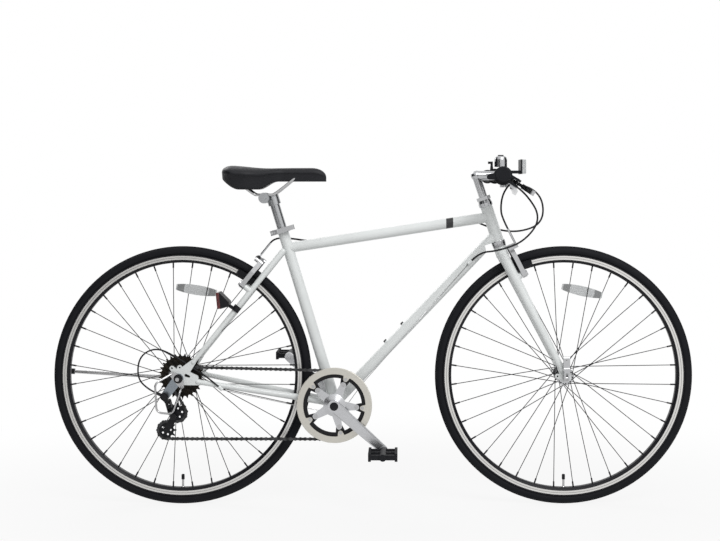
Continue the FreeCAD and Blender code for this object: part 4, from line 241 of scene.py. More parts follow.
class Finish:
    """A finish that makes its material once."""

    made: dict[str, Material] = {}
    name: str

    def material(self) -> Material:
        """Make the material at its first use.

        Returns:
            The finish's material.
        """
        if self.name not in Finish.made:
            graph = MaterialGraph(self.name)
            self.paint(graph)
            Finish.made[self.name] = graph.material
        return Finish.made[self.name]

    def paint(self, graph: MaterialGraph) -> None:
        """Fill the material's nodes.

        Args:
            graph: The material's tree.
        """
        raise NotImplementedError


@dataclass(frozen=True)
class Enamel(Finish):
    """Sprayed gloss enamel under a clear coat, with faint orange peel and dust, and an optional dark band."""

    name: str
    colour: Colour
    band: tuple[float, float, float] | None = None
    band_colour: Colour = (0.02, 0.02, 0.022)

    def paint(self, graph: MaterialGraph) -> None:
        """Fill the material's nodes.

        Args:
            graph: The material's tree.
        """
        at = graph.place()
        dust = graph.noise(at, 9.0, 4.0, 0.6)
        speck = graph.noise(at, 240.0, 2.0, 0.5)
        dull = tuple(c * 0.93 for c in self.colour)
        colour = graph.blend(graph.ease(dust, 0.35, 0.75), self.colour, dull)
        if self.band:
            low, high, floor = self.band
            x, _, z = graph.axes(at)
            inside = (x > low) * (x < high) * (z > floor)
            colour = graph.blend(inside, colour, self.band_colour)
        graph.surface(base_color=colour, roughness=0.3 + speck * 0.06 + dust * 0.08,
                      coat_weight=0.25 + dust * 0.15, coat_roughness=0.06, specular_ior_level=0.3,
                      normal=graph.bump(graph.noise(at, 420.0, 1.0), 0.00004, 0.5))


@dataclass(frozen=True)
class Alloy(Finish):
    """Bare metal with a drawn grain along one axis, and rubbed patches that shine more."""

    name: str
    colour: Colour
    rough: float
    grain: Point = (40.0, 900.0, 900.0)
    depth: float = 0.00002
    turn: Point = (0.0, 0.0, 0.0)

    def paint(self, graph: MaterialGraph) -> None:
        """Fill the material's nodes.

        Args:
            graph: The material's tree.
        """
        at = graph.place()
        lines = graph.noise(graph.place(self.grain, turn=self.turn), 1.0, 3.0, 0.65)
        rubbed = graph.noise(at, 22.0, 3.0, 0.55)
        dark = tuple(c * 0.82 for c in self.colour)
        graph.surface(base_color=graph.blend(lines * 0.55 + rubbed * 0.3, self.colour, dark),
                      roughness=self.rough + lines * 0.12 + (rubbed - 0.5) * 0.14,
                      metallic=1.0,
                      normal=graph.bump(lines, self.depth, 0.6))


@dataclass(frozen=True)
class Oiled(Finish):
    """Dark oiled steel with grime in patches and bright rubbed spots."""

    name: str
    colour: Colour
    grime: Colour
    rough: float = 0.34

    def paint(self, graph: MaterialGraph) -> None:
        """Fill the material's nodes.

        Args:
            graph: The material's tree.
        """
        at = graph.place()
        patch = graph.noise(at, 95.0, 4.0, 0.65)
        fine = graph.noise(at, 700.0, 2.0)
        dirt = graph.ease(patch, 0.38, 0.66)
        graph.surface(base_color=graph.blend(dirt, self.colour, self.grime), metallic=0.95 - dirt * 0.45,
                      roughness=self.rough + dirt * 0.22 + fine * 0.08,
                      normal=graph.bump(fine * 0.4 + patch, 0.00008, 0.6))


@dataclass(frozen=True)
class Moulded(Finish):
    """Moulded plastic or rubber with a fine spark-eroded grain and a dusty bloom."""

    name: str
    colour: Colour
    rough: float
    grain: float = 900.0
    depth: float = 0.00006
    bloom: float = 0.012
    shine: float = 0.2

    def paint(self, graph: MaterialGraph) -> None:
        """Fill the material's nodes.

        Args:
            graph: The material's tree.
        """
        at = graph.place()
        pits = graph.cells(at, self.grain)
        cloud = graph.noise(at, 30.0, 4.0, 0.6)
        pale = tuple(c + self.bloom for c in self.colour)
        graph.surface(base_color=graph.blend(graph.ease(cloud, 0.45, 0.9), self.colour, pale),
                      roughness=self.rough + (cloud - 0.5) * 0.16 + pits * 0.05,
                      specular_ior_level=self.shine, normal=graph.bump(pits, self.depth, 0.7))


@dataclass(frozen=True)
class BlackLacquer(Finish):
    """Satin black lacquer on metal, thin enough on raised patches for a grey rub."""

    name: str
    colour: Colour = (0.008, 0.008, 0.010)
    rubbed: Colour = (0.035, 0.035, 0.038)
    rough: float = 0.4

    def paint(self, graph: MaterialGraph) -> None:
        """Fill the material's nodes.

        Args:
            graph: The material's tree.
        """
        at = graph.place()
        fine = graph.noise(at, 320.0, 3.0, 0.6)
        patch = graph.noise(at, 60.0, 4.0, 0.6)
        rub = graph.ease(patch * 0.7 + fine * 0.3, 0.6, 0.78)
        graph.surface(base_color=graph.blend(rub, self.colour, self.rubbed), metallic=rub * 0.5,
                      roughness=self.rough + fine * 0.1 - rub * 0.08, specular_ior_level=0.25,
                      normal=graph.bump(fine, 0.00004, 0.5))


@dataclass(frozen=True)
class RimFinish(Finish):
    """Rim with a machined silver brake track, a wear groove in it, black lacquer below it, and black above it
    as painted shade of the overhanging tyre.
    """

    name: str
    centre: Vector
    # The track stops short of the rim's edge, which stays black as painted shade and overhanging tyre rubber.
    track: tuple[float, float] = (0.3036, 0.3138)
    groove: float = 0.3088
    groove_half: float = 0.0006
    silver: Colour = (0.76, 0.75, 0.73)
    black: Colour = (0.007, 0.007, 0.010)

    def paint(self, graph: MaterialGraph) -> None:
        """Fill the material's nodes.

        Args:
            graph: The material's tree.
        """
        r, x, z = graph.about_axle(self.centre)
        low, high = self.track
        groove = abs(r - self.groove) < self.groove_half
        # Outside the track: black lacquer below it, and painted shade of the tyre's bulge above it.
        track = (r > low) * (r < high)
        turned = (r * 9000.0).sine() * 0.5 + 0.5
        around = graph.noise(graph.node("ShaderNodeCombineXYZ", {}, {0: r * 2200.0, 1: x * 6.0, 2: z * 6.0}),
                             1.0, 2.0)
        rub = graph.noise(graph.place(), 34.0, 3.0)
        silver = graph.blend(around, self.silver, tuple(c * 0.8 for c in self.silver))
        silver = graph.blend(groove, silver, tuple(c * 0.3 for c in self.silver))
        graph.surface(base_color=graph.blend(track, self.black, silver), metallic=track,
                      roughness=0.34 + rub * 0.12 + track * (around * 0.12 - 0.02), specular_ior_level=0.25,
                      normal=graph.bump(track * (turned * 0.5 + around * 0.5), 0.00003, 0.6))


@dataclass(frozen=True)
class TyreRubber(Finish):
    """Tyre rubber: a dull tread with dust in it, and a smoother side wall with fine moulded lines."""

    name: str
    centre: Vector
    colour: Colour = (0.0075, 0.008, 0.0105)
    dusty: Colour = (0.019, 0.019, 0.021)
    tread_from: tuple[float, float] = (0.3325, 0.3365)

    def paint(self, graph: MaterialGraph) -> None:
        """Fill the material's nodes.

        Args:
            graph: The material's tree.
        """
        r, _, _ = graph.about_axle(self.centre)
        at = graph.place()
        cloud = graph.noise(at, 26.0, 4.0, 0.65)
        fine = graph.noise(at, 900.0, 2.0)
        tread = graph.ease(r, *self.tread_from)
        cord = (r * 5200.0).sine() * 0.5 + 0.5
        dust = graph.ease(cloud, 0.4, 0.8) * (tread * 0.6 + 0.2)
        graph.surface(base_color=graph.blend(dust, self.colour, self.dusty),
                      roughness=0.62 + tread * 0.18 + fine * 0.08, specular_ior_level=0.14,
                      normal=graph.bump(fine * 0.6 + cord * (1.0 - tread) * 0.5, 0.00008, 0.7))


@dataclass(frozen=True)
class SpokeFinish(Finish):
    """Black stainless spokes with dull dark nipples next to the rim."""

    name: str
    centre: Vector
    nipple_from: float = 0.2825
    black: Colour = (0.007, 0.007, 0.008)
    rubbed: Colour = (0.015, 0.015, 0.016)
    plated: Colour = (0.03, 0.03, 0.032)

    def paint(self, graph: MaterialGraph) -> None:
        """Fill the material's nodes.

        Args:
            graph: The material's tree.
        """
        r, _, _ = graph.about_axle(self.centre)
        nipple = r > self.nipple_from
        fine = graph.noise(graph.place(), 160.0, 3.0)
        shade = graph.blend(fine * 0.6, self.black, self.rubbed)
        graph.surface(base_color=graph.blend(nipple, shade, self.plated), metallic=nipple * 0.5,
                      roughness=0.4 + fine * 0.14, specular_ior_level=0.15,
                      normal=graph.bump(graph.noise(graph.place(), 1200.0), 0.00002, 0.4))


@dataclass(frozen=True)
class Lens(Finish):
    """Moulded reflector lens with small prisms behind a clear face, and a darker patch near each end."""

    name: str
    colour: Colour
    deep: Colour
    cell: float = 380.0
    clear: float = 0.15
    middle: Vector | None = None
    patch: tuple[float, float] = (0.033, 0.051)

    def paint(self, graph: MaterialGraph) -> None:
        """Fill the material's nodes.

        Args:
            graph: The material's tree.
        """
        at = graph.place()
        prism = graph.cells(at, self.cell)
        edge = graph.cells(at, self.cell, "DISTANCE_TO_EDGE")
        tint = graph.blend(graph.ease(prism, 0.1, 0.75), self.colour, self.deep)
        if self.middle:
            away, _, _ = graph.about_axle(self.middle)
            low, high = self.patch
            tint = graph.blend((away > low) * (away < high), tint, tuple(c * 0.45 for c in self.deep))
        graph.surface(base_color=tint, roughness=0.16 + graph.noise(at, 60.0, 2.0) * 0.1, ior=1.49,
                      transmission_weight=self.clear, coat_weight=0.3, coat_roughness=0.04,
                      normal=graph.bump(prism + graph.ease(edge, 0.0, 0.08), 0.0003, 0.55))


@dataclass(frozen=True)
class SaddleCover(Finish):
    """Black grained synthetic leather with fine creases worn lighter, and a painted sheen that lightens the
    top.
    """

    name: str
    colour: Colour = (0.0075, 0.008, 0.011)
    # Lighter colour of the worn creases and of the painted sheen on the top.
    wear_and_sheen: Colour = (0.018, 0.018, 0.021)
    # Heights over which the painted sheen on the top comes in.
    sheen_heights: tuple[float, float] = (0.872, 0.889)

    def paint(self, graph: MaterialGraph) -> None:
        """Fill the material's nodes.

        Args:
            graph: The material's tree.
        """
        at = graph.place()
        _, _, z = graph.axes(at)
        grain = graph.cells(at, 620.0, "DISTANCE_TO_EDGE")
        small = graph.cells(at, 1500.0)
        crease = graph.noise(graph.place((1.0, 2.4, 1.0)), 45.0, 5.0, 0.62)
        # Painted sheen: the cushion gets lighter towards its top, standing in for light falling there; the
        # creases' wear is weighted by it too.
        top = graph.ease(z, *self.sheen_heights)
        wear_and_sheen = graph.ease(crease, 0.42, 0.8) * (0.35 + top * 0.5)
        graph.surface(base_color=graph.blend(wear_and_sheen, self.colour, self.wear_and_sheen),
                      roughness=0.46 + crease * 0.16 - top * 0.06, specular_ior_level=0.3,
                      normal=graph.bump(graph.ease(grain, 0.0, 0.16) * 0.8 + small * 0.3 + crease * 0.5,
                                        0.00014, 0.6))


@dataclass(frozen=True)
class HousingSleeve(Finish):
    """Extruded black cable sleeve with the wire coil showing faintly through it."""

    name: str
    colour: Colour = (0.007, 0.007, 0.009)
    scuffed: Colour = (0.02, 0.02, 0.022)

    def paint(self, graph: MaterialGraph) -> None:
        """Fill the material's nodes.

        Args:
            graph: The material's tree.
        """
        at = graph.place()
        x, y, z = graph.axes(at)
        coil = ((x + y + z) * 2400.0).sine() * 0.5 + 0.5
        scuff = graph.noise(at, 70.0, 3.0, 0.6)
        graph.surface(base_color=graph.blend(graph.ease(scuff, 0.45, 0.85), self.colour, self.scuffed),
                      roughness=0.4 + scuff * 0.14, specular_ior_level=0.2,
                      normal=graph.bump(coil * 0.35 + scuff, 0.00006, 0.5))


PAINT = (0.80, 0.825, 0.82)
INK = (0.008, 0.0085, 0.011)
WHITE = Enamel("gloss_white_enamel", PAINT)
WHITE_BANDED = Enamel("gloss_white_enamel_with_band", PAINT, (0.192, 0.2105, 0.65))
POLISHED = Alloy("polished_alloy", (0.52, 0.525, 0.535), 0.16)
SATIN = Alloy("satin_alloy", (0.42, 0.43, 0.445), 0.27)
POST = Alloy("drawn_seat_post", (0.43, 0.44, 0.45), 0.2, (900.0, 900.0, 30.0), turn=(0.0, -0.2967, 0.0))
FORGED = Alloy("forged_crank_alloy", (0.56, 0.565, 0.58), 0.2, (160.0, 160.0, 160.0), 0.00001)
PLATED = Alloy("plated_steel", (0.48, 0.48, 0.485), 0.18, (300.0, 300.0, 300.0), 0.00001)
HANGER = Alloy("zinc_plate", (0.30, 0.335, 0.37), 0.3, (300.0, 300.0, 300.0), 0.00001)
GUARD = Alloy("pale_guard_alloy", (0.66, 0.64, 0.585), 0.36, (420.0, 420.0, 420.0), 0.00001)
LACQUER = BlackLacquer("satin_black_lacquer")
PLASTIC = Moulded("black_moulded_plastic", INK, 0.42, 1100.0, 0.00004)
PEDAL = Moulded("pedal_plastic", INK, 0.5, 700.0, 0.00008)
GRIP = Moulded("grip_rubber", INK, 0.68, 520.0, 0.00025)
PAD = Moulded("brake_pad_rubber", INK, 0.75, 800.0, 0.0001)
CHAIN_STEEL = Oiled("oiled_chain_steel", (0.075, 0.075, 0.078), (0.014, 0.014, 0.014))
SPROCKET = Oiled("browned_sprocket_steel", (0.034, 0.028, 0.022), (0.008, 0.007, 0.006), 0.45)
GREY_LENS = (0.72, 0.735, 0.74)
DEEP_LENS = (0.57, 0.585, 0.59)
CLEAR = Lens("clear_prism_lens", GREY_LENS, DEEP_LENS)
FRONT_LENS = Lens("front_wheel_lens", GREY_LENS, DEEP_LENS, middle=Vector((0.5504, 0.0, 0.5596)))
REAR_LENS = Lens("rear_wheel_lens", GREY_LENS, DEEP_LENS, middle=Vector((-0.4661, 0.0, 0.5622)))
RED = Lens("red_prism_lens", (0.20, 0.006, 0.010), (0.07, 0.002, 0.004), 300.0, 0.1)
LEATHER = SaddleCover("grained_saddle_cover")
SLEEVE = HousingSleeve("black_cable_sleeve")


def smaller(measure: str, limit: float) -> PartTest:
    """True for a solid whose length, or size along an axis, is below a limit in millimetres."""
    return lambda low, high: getattr(high - low, measure) < limit * MM


def beyond(axis: str, limit: float) -> PartTest:
    """True for a solid that lies past a place on an axis, in millimetres."""
    return lambda low, high: getattr(low, axis) > limit * MM


class Dresser:
    """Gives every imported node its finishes."""

    whole: tuple[tuple[Finish, str], ...] = (
        (WHITE_BANDED, "main_frame"),
        (WHITE, "rear_triangle fork_crown fork_blades"),
        (POLISHED, "seat_clamp seat_clamp_lever headset_races stem brake_lever_right brake_lever_left"),
        (POLISHED, "front_release_lever front_hub rear_hub"),
        (POST, "seat_post"),
        (SATIN, "handlebar"),
        (GRIP, "grips"),
        (PLASTIC, "shift_lever bell_striker guide_pulley tension_pulley"),
        (PLATED, "front_axle derailleur_guard kickstand_bracket"),
        (RimFinish("front_rim_wall", FRONT_HUB), "front_rim"),
        (RimFinish("rear_rim_wall", REAR_HUB), "rear_rim"),
        (SpokeFinish("front_spoke_steel", FRONT_HUB), "front_spokes"),
        (SpokeFinish("rear_spoke_steel", REAR_HUB), "rear_spokes"),
        (FRONT_LENS, "front_wheel_reflector"),
        (REAR_LENS, "rear_wheel_reflector"),
        (SPROCKET, "freewheel"),
        (CHAIN_STEEL, "chain"),
        (PEDAL, "pedal_right pedal_left"),
        (LACQUER, "chainring derailleur_outer_link derailleur_inner_link derailleur_knuckle derailleur_cage"),
    )
    mixed: dict[str, tuple[PartTest, Finish, Finish]] = {
        "frame_fittings": (smaller("length", 30), POLISHED, LACQUER),
        "bell": (beyond("z", 880), PLASTIC, POLISHED),
        "front_reflector": (beyond("x", 390), PLASTIC, CLEAR),
        "rear_reflector": (smaller("x", 30), PLASTIC, RED),
        "chain_guard": (smaller("length", 60), GUARD, PLATED),
        "crank_spindle": (smaller("y", 30), PLATED, PLASTIC),
        "derailleur_body": (smaller("y", 6), LACQUER, HANGER),
        "crank_arms": (smaller("x", 30), FORGED, LACQUER),
        "rear_axle": (smaller("y", 30), PLATED, LACQUER),
        **{f"{end}_brake_arm_{side}": (smaller("length", 90), POLISHED, PAD)
           for end in ("front", "rear") for side in ("left", "right")},
    }
    spout_end = Vector((0.36691, -0.09121, 0.83617))
    spout_ahead = Vector((0.8427, -0.0843, -0.5318))
    spout_length: float = 14 * MM
    spout_inside: float = -105 * MM
    stand_pivot = Vector((-0.540, 0.0868, 0.3191))
    stand_bare: float = 266.5 * MM

    def coat(self, node: str, *finishes: Finish) -> Object:
        """Put finishes into a node's material slots.

        Args:
            node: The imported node.
            finishes: The finishes, in the order of the slots.

        Returns:
            The node's object.
        """
        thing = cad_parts[node]
        thing.data.materials.clear()
        for finish in finishes:
            thing.data.materials.append(finish.material())
        LOG.info("dressed %s", node)
        return thing

    def by_solid(self, node: str, test: PartTest, outside: Finish, inside: Finish) -> None:
        """Dress a node's solids apart.

        Args:
            node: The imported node.
            test: True for a solid that takes the second finish, from its lowest and highest corners.
            outside: The finish of the rest.
            inside: The finish where the test is true.
        """
        mesh = self.coat(node, outside, inside).data
        for group in Shop.islands(mesh):
            corners = [mesh.vertices[c].co for k in group for c in mesh.polygons[k].vertices]
            low = Vector(min(c[a] for c in corners) for a in range(3))
            high = Vector(max(c[a] for c in corners) for a in range(3))
            index = int(test(low, high))
            for k in group:
                mesh.polygons[k].material_index = index

    def by_place(self, node: str, test: Callable[[Vector], bool], outside: Finish, inside: Finish) -> None:
        """Dress a node's polygons apart, with the second finish where their middles pass a test."""
        for polygon in self.coat(node, outside, inside).data.polygons:
            polygon.material_index = int(test(polygon.center))

    def on_spout(self, place: Vector) -> bool:
        """True on the metal end of the shifter's cable spout."""
        ahead = (place - self.spout_end).dot(self.spout_ahead)
        return place.y > self.spout_inside and ahead > -self.spout_length

    def on_foot(self, place: Vector) -> bool:
        """True on the rubber foot of the stand."""
        return (place - self.stand_pivot).length > self.stand_bare

    def dress(self) -> None:
        """Dress every node."""
        for finish, nodes in self.whole:
            for node in nodes.split():
                self.coat(node, finish)
        for node, (test, outside, inside) in self.mixed.items():
            self.by_solid(node, test, outside, inside)
        self.by_place("lever_brackets", self.on_spout, PLASTIC, SATIN)
        self.by_place("kickstand_leg", self.on_foot, PLATED, GRIP)


class Shop:
    """Turns points, curves and node trees into finished pieces."""

    @staticmethod
    def baked(thing: Object) -> Mesh:
        """Turn an object with its modifiers into a plain mesh.

        Args:
            thing: The object, which is removed.

        Returns:
            The mesh.
        """
        bpy.context.view_layer.update()
        graph = bpy.context.evaluated_depsgraph_get()
        mesh = bpy.data.meshes.new_from_object(thing.evaluated_get(graph), depsgraph=graph)
        bpy.data.objects.remove(thing)
        return mesh

    @staticmethod
    def link(name: str, data: ID) -> Object:
        """Add an object to the scene.

        Args:
            name: The object's name.
            data: Its mesh, curve, lamp or camera.

        Returns:
            The object.
        """
        thing = bpy.data.objects.new(name, data)
        bpy.context.scene.collection.objects.link(thing)
        return thing

    @classmethod
    def piece(cls, name: str, mesh: Mesh, slot: Slot, body: str | None,
              *finishes: Finish) -> Object:
        """Finished piece of the bicycle.

        Args:
            name: The piece's name.
            mesh: Its mesh, in the frame's own place.
            slot: The record's material slot, which is not used.
            body: The body it rides on, or None where it rides on none.
            finishes: The finishes of its material slots.

        Returns:
            The piece's object.
        """
        thing = cls.link(name, mesh)
        for finish in finishes:
            mesh.materials.append(finish.material())
        for polygon in mesh.polygons:
            polygon.use_smooth = True
        if body:
            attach(thing, body)
        LOG.info("made %s with %d polygons", name, len(mesh.polygons))
        return thing

    @staticmethod
    def mesh(name: str, points: Sequence[Point], faces: Sequence[Sequence[int]]) -> Mesh:
        """Mesh with its normals pointing outwards.

        Args:
            name: The mesh's name.
            points: Its points, where those in one place become one.
            faces: The numbers of each face's points.

        Returns:
            The mesh.
        """
        made = bpy.data.meshes.new(name)
        made.from_pydata([tuple(p) for p in points], [], faces)
        work = bmesh.new()
        work.from_mesh(made)
        bmesh.ops.remove_doubles(work, verts=work.verts, dist=1e-6)
        bmesh.ops.recalc_face_normals(work, faces=work.faces)
        work.to_mesh(made)
        work.free()
        return made

    @staticmethod
    def islands(mesh: Mesh) -> list[list[int]]:
        """Polygon numbers of each separate solid, found by the places of their corners.

        Args:
            mesh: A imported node's mesh of loose triangles.

        Returns:
            One list of polygon numbers for each solid.
        """
        owner: dict[tuple[int, int, int], int] = {}
        parent = list(range(len(mesh.polygons)))

        def root(k: int) -> int:
            """Leader of a polygon's group."""
            while parent[k] != k:
                parent[k] = parent[parent[k]]
                k = parent[k]
            return k

        for polygon in mesh.polygons:
            for corner in polygon.vertices:
                key = tuple(round(c * 1e6) for c in mesh.vertices[corner].co)
                if key in owner:
                    parent[root(polygon.index)] = root(owner[key])
                else:
                    owner[key] = polygon.index
        groups: dict[int, list[int]] = {}
        for k in range(len(parent)):
            groups.setdefault(root(k), []).append(k)
        return list(groups.values())

    @classmethod
    def lathe(cls, name: str, outline: Sequence[tuple[float, float]], foot: Vector, axis: Vector, turns: int,
              ring: bool = False) -> Mesh:
        """Turned mesh.

        Args:
            name: The mesh's name.
            outline: Radius and height of each point, in metres.
            foot: Where the height is nought.
            axis: Direction of the height.
            turns: Number of points around.
            ring: True where the outline closes on itself.

        Returns:
            The mesh.
        """
        axis = axis.normalized()
        across = axis.orthogonal().normalized()
        aside = axis.cross(across)
        points = []
        for k in range(turns):
            turn = 2 * math.pi * k / turns
            out = across * math.cos(turn) + aside * math.sin(turn)
            points += [foot + out * r + axis * h for r, h in outline]
        count = len(outline)
        last = count if ring else count - 1
        faces = []
        for k in range(turns):
            for j in range(last):
                a, b = k * count + j, k * count + (j + 1) % count
                c, d = ((k + 1) % turns) * count + (j + 1) % count, ((k + 1) % turns) * count + j
                faces.append((a, b, c, d))
        return cls.mesh(name, points, faces)

    @staticmethod
    def curve(name: str, kind: str, points: Sequence[Point]) -> Curve:
        """Curve with one spline.

        Args:
            name: The curve's name.
            kind: The spline's type.
            points: Its control points.

        Returns:
            The curve.
        """
        data = bpy.data.curves.new(name, "CURVE")
        data.dimensions = "3D"
        spline = data.splines.new(kind)
        spline.points.add(len(points) - 1)
        for control, place in zip(spline.points, points):
            control.co = (*place, 1.0)
        return data

    @classmethod
    def tube(cls, name: str, points: Sequence[Point], radius: float, steps: int = 10) -> Mesh:
        """Round tube on a smooth curve.

        Args:
            name: The mesh's name.
            points: The curve's control points.
            radius: The tube's radius.
            steps: Number of steps from one point to the next.

        Returns:
            The mesh.
        """
        data = cls.curve(name, "NURBS", points)
        spline = data.splines[0]
        spline.order_u = 3
        spline.use_endpoint_u = True
        spline.resolution_u = steps
        data.bevel_depth = radius
        data.bevel_resolution = 4
        data.use_fill_caps = True
        return cls.baked(cls.link(name, data))

    @staticmethod
    def joined(name: str, meshes: Sequence[Mesh], apart: bool = False) -> Mesh:
        """One mesh of several.

        Args:
            name: The mesh's name.
            meshes: The meshes, which are removed.
            apart: True where each has its own material slot, in their order.

        Returns:
            The mesh.
        """
        work = bmesh.new()
        for index, mesh in enumerate(meshes):
            first = len(work.faces)
            work.from_mesh(mesh)
            work.faces.ensure_lookup_table()
            for face in work.faces[first:]:
                face.material_index = index if apart else 0
            bpy.data.meshes.remove(mesh)
        made = bpy.data.meshes.new(name)
        work.to_mesh(made)
        work.free()
        return made


class Pattern(Graph):
    """Geometry node tree with named inputs, run on an empty mesh."""

    def __init__(self, name: str) -> None:
        """Start a tree that gives one geometry.

        Args:
            name: The tree's name.
        """
        super().__init__(bpy.data.node_groups.new(name, "GeometryNodeTree"))
        self.tree.is_modifier = True
        self.tree.interface.new_socket("Geometry", in_out="OUTPUT", socket_type="NodeSocketGeometry")
        self.entry = self.tree.nodes.new("NodeGroupInput")
        self.names: dict[str, str] = {}

    def take(self, name: str, kind: str) -> Wire:
        """Add an input.

        Args:
            name: The input's name.
            kind: The end of its socket type's name.

        Returns:
            The input's wire.
        """
        made = self.tree.interface.new_socket(name, in_out="INPUT", socket_type=f"NodeSocket{kind}")
        self.names[name] = made.identifier
        return Wire(self, self.entry.outputs[name])

    def close(self, points: Wire, copy: Wire, rotation: Wire) -> None:
        """End the tree with real copies of an object.

        Args:
            points: Where the copies stand.
            copy: The object.
            rotation: How each copy is turned.
        """
        shape = self.node("GeometryNodeObjectInfo", {}, {"Object": copy}, "Geometry")
        copies = self.node("GeometryNodeInstanceOnPoints", {},
                           {"Points": points, "Instance": shape, "Rotation": rotation})
        real = self.node("GeometryNodeRealizeInstances", {}, {0: copies})
        self.feed(self.tree.nodes.new("NodeGroupOutput").inputs[0], real)

    def run(self, name: str, **values: object) -> Mesh:
        """Plain mesh of the tree.

        Args:
            name: The mesh's name.
            values: The tree's inputs.

        Returns:
            The mesh.
        """
        thing = Shop.link(name, bpy.data.meshes.new(name))
        modifier = thing.modifiers.new("pattern", "NODES")
        modifier.node_group = self.tree
        for key, value in values.items():
            modifier[self.names[key]] = value
        return Shop.baked(thing)


class AroundAxle(Pattern):
    """Copies of an object spaced evenly about a cross axle."""

    def __init__(self) -> None:
        """Build the tree."""
        super().__init__("copies_around_axle")
        copy = self.take("copy", "Object")
        count = self.take("count", "Int")
        centre = self.take("centre", "Vector")
        phase = self.take("phase", "Float")
        spots = self.node("GeometryNodePoints", {}, {"Count": count, "Position": centre})
        turn = (self.node("GeometryNodeInputIndex") + phase) / count * (2 * math.pi)
        self.close(spots, copy, self.node("ShaderNodeCombineXYZ", {}, {1: turn}))


class AlongPath(Pattern):
    """Copies of an object along a curve, each lying along it."""

    def __init__(self) -> None:
        """Build the tree."""
        super().__init__("copies_along_path")
        path = self.take("path", "Object")
        copy = self.take("copy", "Object")
        spacing = self.take("spacing", "Float")
        line = self.node("GeometryNodeObjectInfo", {}, {"Object": path}, "Geometry")
        even = self.node("GeometryNodeResampleCurve", {"mode": "LENGTH"}, {"Curve": line, "Length": spacing})
        tangent = self.node("GeometryNodeInputTangent")
        lie = self.node("FunctionNodeAlignRotationToVector", {"axis": "X"}, {"Vector": tangent})
        self.close(even, copy, lie)


@dataclass
class Tyre:
    """Semi-slick tyre with moulded side walls and shoulder blocks, and its valve."""

    end: str
    hub: Vector
    around: AroundAxle
    radius: float = 339 * MM
    middle: float = 325.95 * MM
    half_width: float = 13.05 * MM
    groove: float = 0.9 * MM
    lip: float = 318 * MM
    bead_y: float = 10.0 * MM
    bead_foot: float = 311.6 * MM
    blocks: int = 132
    block_rows: tuple[tuple[float, float], ...] = ((0.14, -0.1), (0.30, 0.16), (0.46, 0.34))
    block_half: float = 0.31
    block_phase: float = 0.25
    block_sink: float = 1.4 * MM
    block_drop: float = 0.45 * MM
    turns: int = 288
    wall_steps: int = 72
    tread_share: float = 0.36
    middle_rib: tuple[float, float, float] = (0.05, 0.07, 0.55)
    side_ribs: tuple[float, ...] = (0.34, 0.46, 0.60)
    side_rib_half: float = 0.014
    side_rib_height: float = 0.25 * MM
    valve_foot: float = 296 * MM

    def sunk(self, share: float) -> float:
        """How deep the wall lies below the tread's top.

        Args:
            share: Place on the wall, from nought on the middle line to one at the lip.

        Returns:
            The depth, as a share of the groove.
        """
        flat, slope, step = self.middle_rib
        if share < flat or share >= self.tread_share:
            return 0.0
        return step if share < slope else 1.0

    def wall(self) -> list[tuple[float, float]]:
        """Closed outline of the tyre's section.

        Returns:
            Points with their radius from the axle and their place across.
        """
        low = math.acos((self.lip - self.middle) / self.half_width)
        outline = []
        for k in range(self.wall_steps + 1):
            lean = -low + 2 * low * k / self.wall_steps
            share = abs(lean) / low
            out = self.half_width - self.groove * self.sunk(share)
            for rib in self.side_ribs:
                if abs(share - rib) < self.side_rib_half:
                    out += self.side_rib_height
            outline.append((self.middle + out * math.cos(lean), out * math.sin(lean)))
        bead = [(self.lip, self.bead_y), (self.bead_foot, self.bead_y), (self.bead_foot, -self.bead_y),
                (self.lip, -self.bead_y)]
        return outline + bead

    def block(self, side: int) -> Object:
        """One slanted shoulder block in its place on the tyre, at the angle of nought.

        Args:
            side: One on the left and minus one on the right.

        Returns:
            The block's object, which the pattern copies.
        """
        span = 2 * math.pi * self.radius / self.blocks
        points = []
        for height in (-self.block_sink, 0.0):
            for lean, slant in self.block_rows:
                outer = lean == self.block_rows[-1][0] and height == 0.0
                out = self.half_width + height - (self.block_drop if outer else 0.0)
                for along in (-self.block_half, self.block_half):
                    points.append((self.middle + out * math.cos(lean), side * out * math.sin(lean),
                                   span * (along + slant * side)))
        faces = []
        for j in (0, 2):
            faces += [(j, j + 1, j + 3, j + 2), (6 + j, 8 + j, 9 + j, 7 + j), (j, j + 2, j + 8, j + 6),
                      (j + 1, j + 7, j + 9, j + 3)]
        faces += [(0, 6, 7, 1), (4, 5, 11, 10)]
        return Shop.link("tread_block", Shop.mesh("tread_block", points, faces))

    def build(self) -> None:
        """Make the tyre with its blocks, and the valve."""
        finish = TyreRubber(f"{self.end}_tyre_rubber", self.hub)
        parts = [Shop.lathe("tyre_wall", self.wall(), self.hub, Vector((0, 1, 0)), self.turns, True)]
        for side in (1, -1):
            block = self.block(side)
            parts.append(self.around.run("tread_row", copy=block, count=self.blocks, centre=tuple(self.hub),
                                         phase=self.block_phase * side))
            bpy.data.objects.remove(block)
        mesh = Shop.joined(f"{self.end}_tyre_tread", parts)
        body = f"{self.end}_wheel"
        tyre = Shop.piece(f"{self.end}_tyre_tread", mesh, Slot.TYRE, body, finish)
        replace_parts(tyre, f"{self.end}_tyre")
        self.valve(body)

    def valve(self, body: str) -> None:
        """Valve stem with its ring nut and ribbed cap, below the axle.

        Args:
            body: The wheel's body.
        """
        foot = self.hub - Vector((0, 0, self.valve_foot))
        stem = [(0, 0), (5.2, 0), (5.2, 1.6), (3.0, 2.4)]
        for k in range(9):
            stem += [(3.0, 3.0 + k * 2.1), (2.75, 3.9 + k * 2.1)]
        stem += [(2.6, 22.4), (0, 22.4)]
        cap = [(0, 20.4), (3.9, 20.4), (4.2, 21.2), (4.2, 32.0), (3.4, 33.8), (0, 34.0)]
        up = Vector((0, 0, 1))
        parts = [Shop.lathe("valve", [metres(p) for p in outline], foot, up, 24) for outline in (stem, cap)]
        mesh = Shop.joined("valve", parts, apart=True)
        Shop.piece(f"{self.end}_valve", mesh, Slot.STEEL, body, PLATED, PLASTIC)


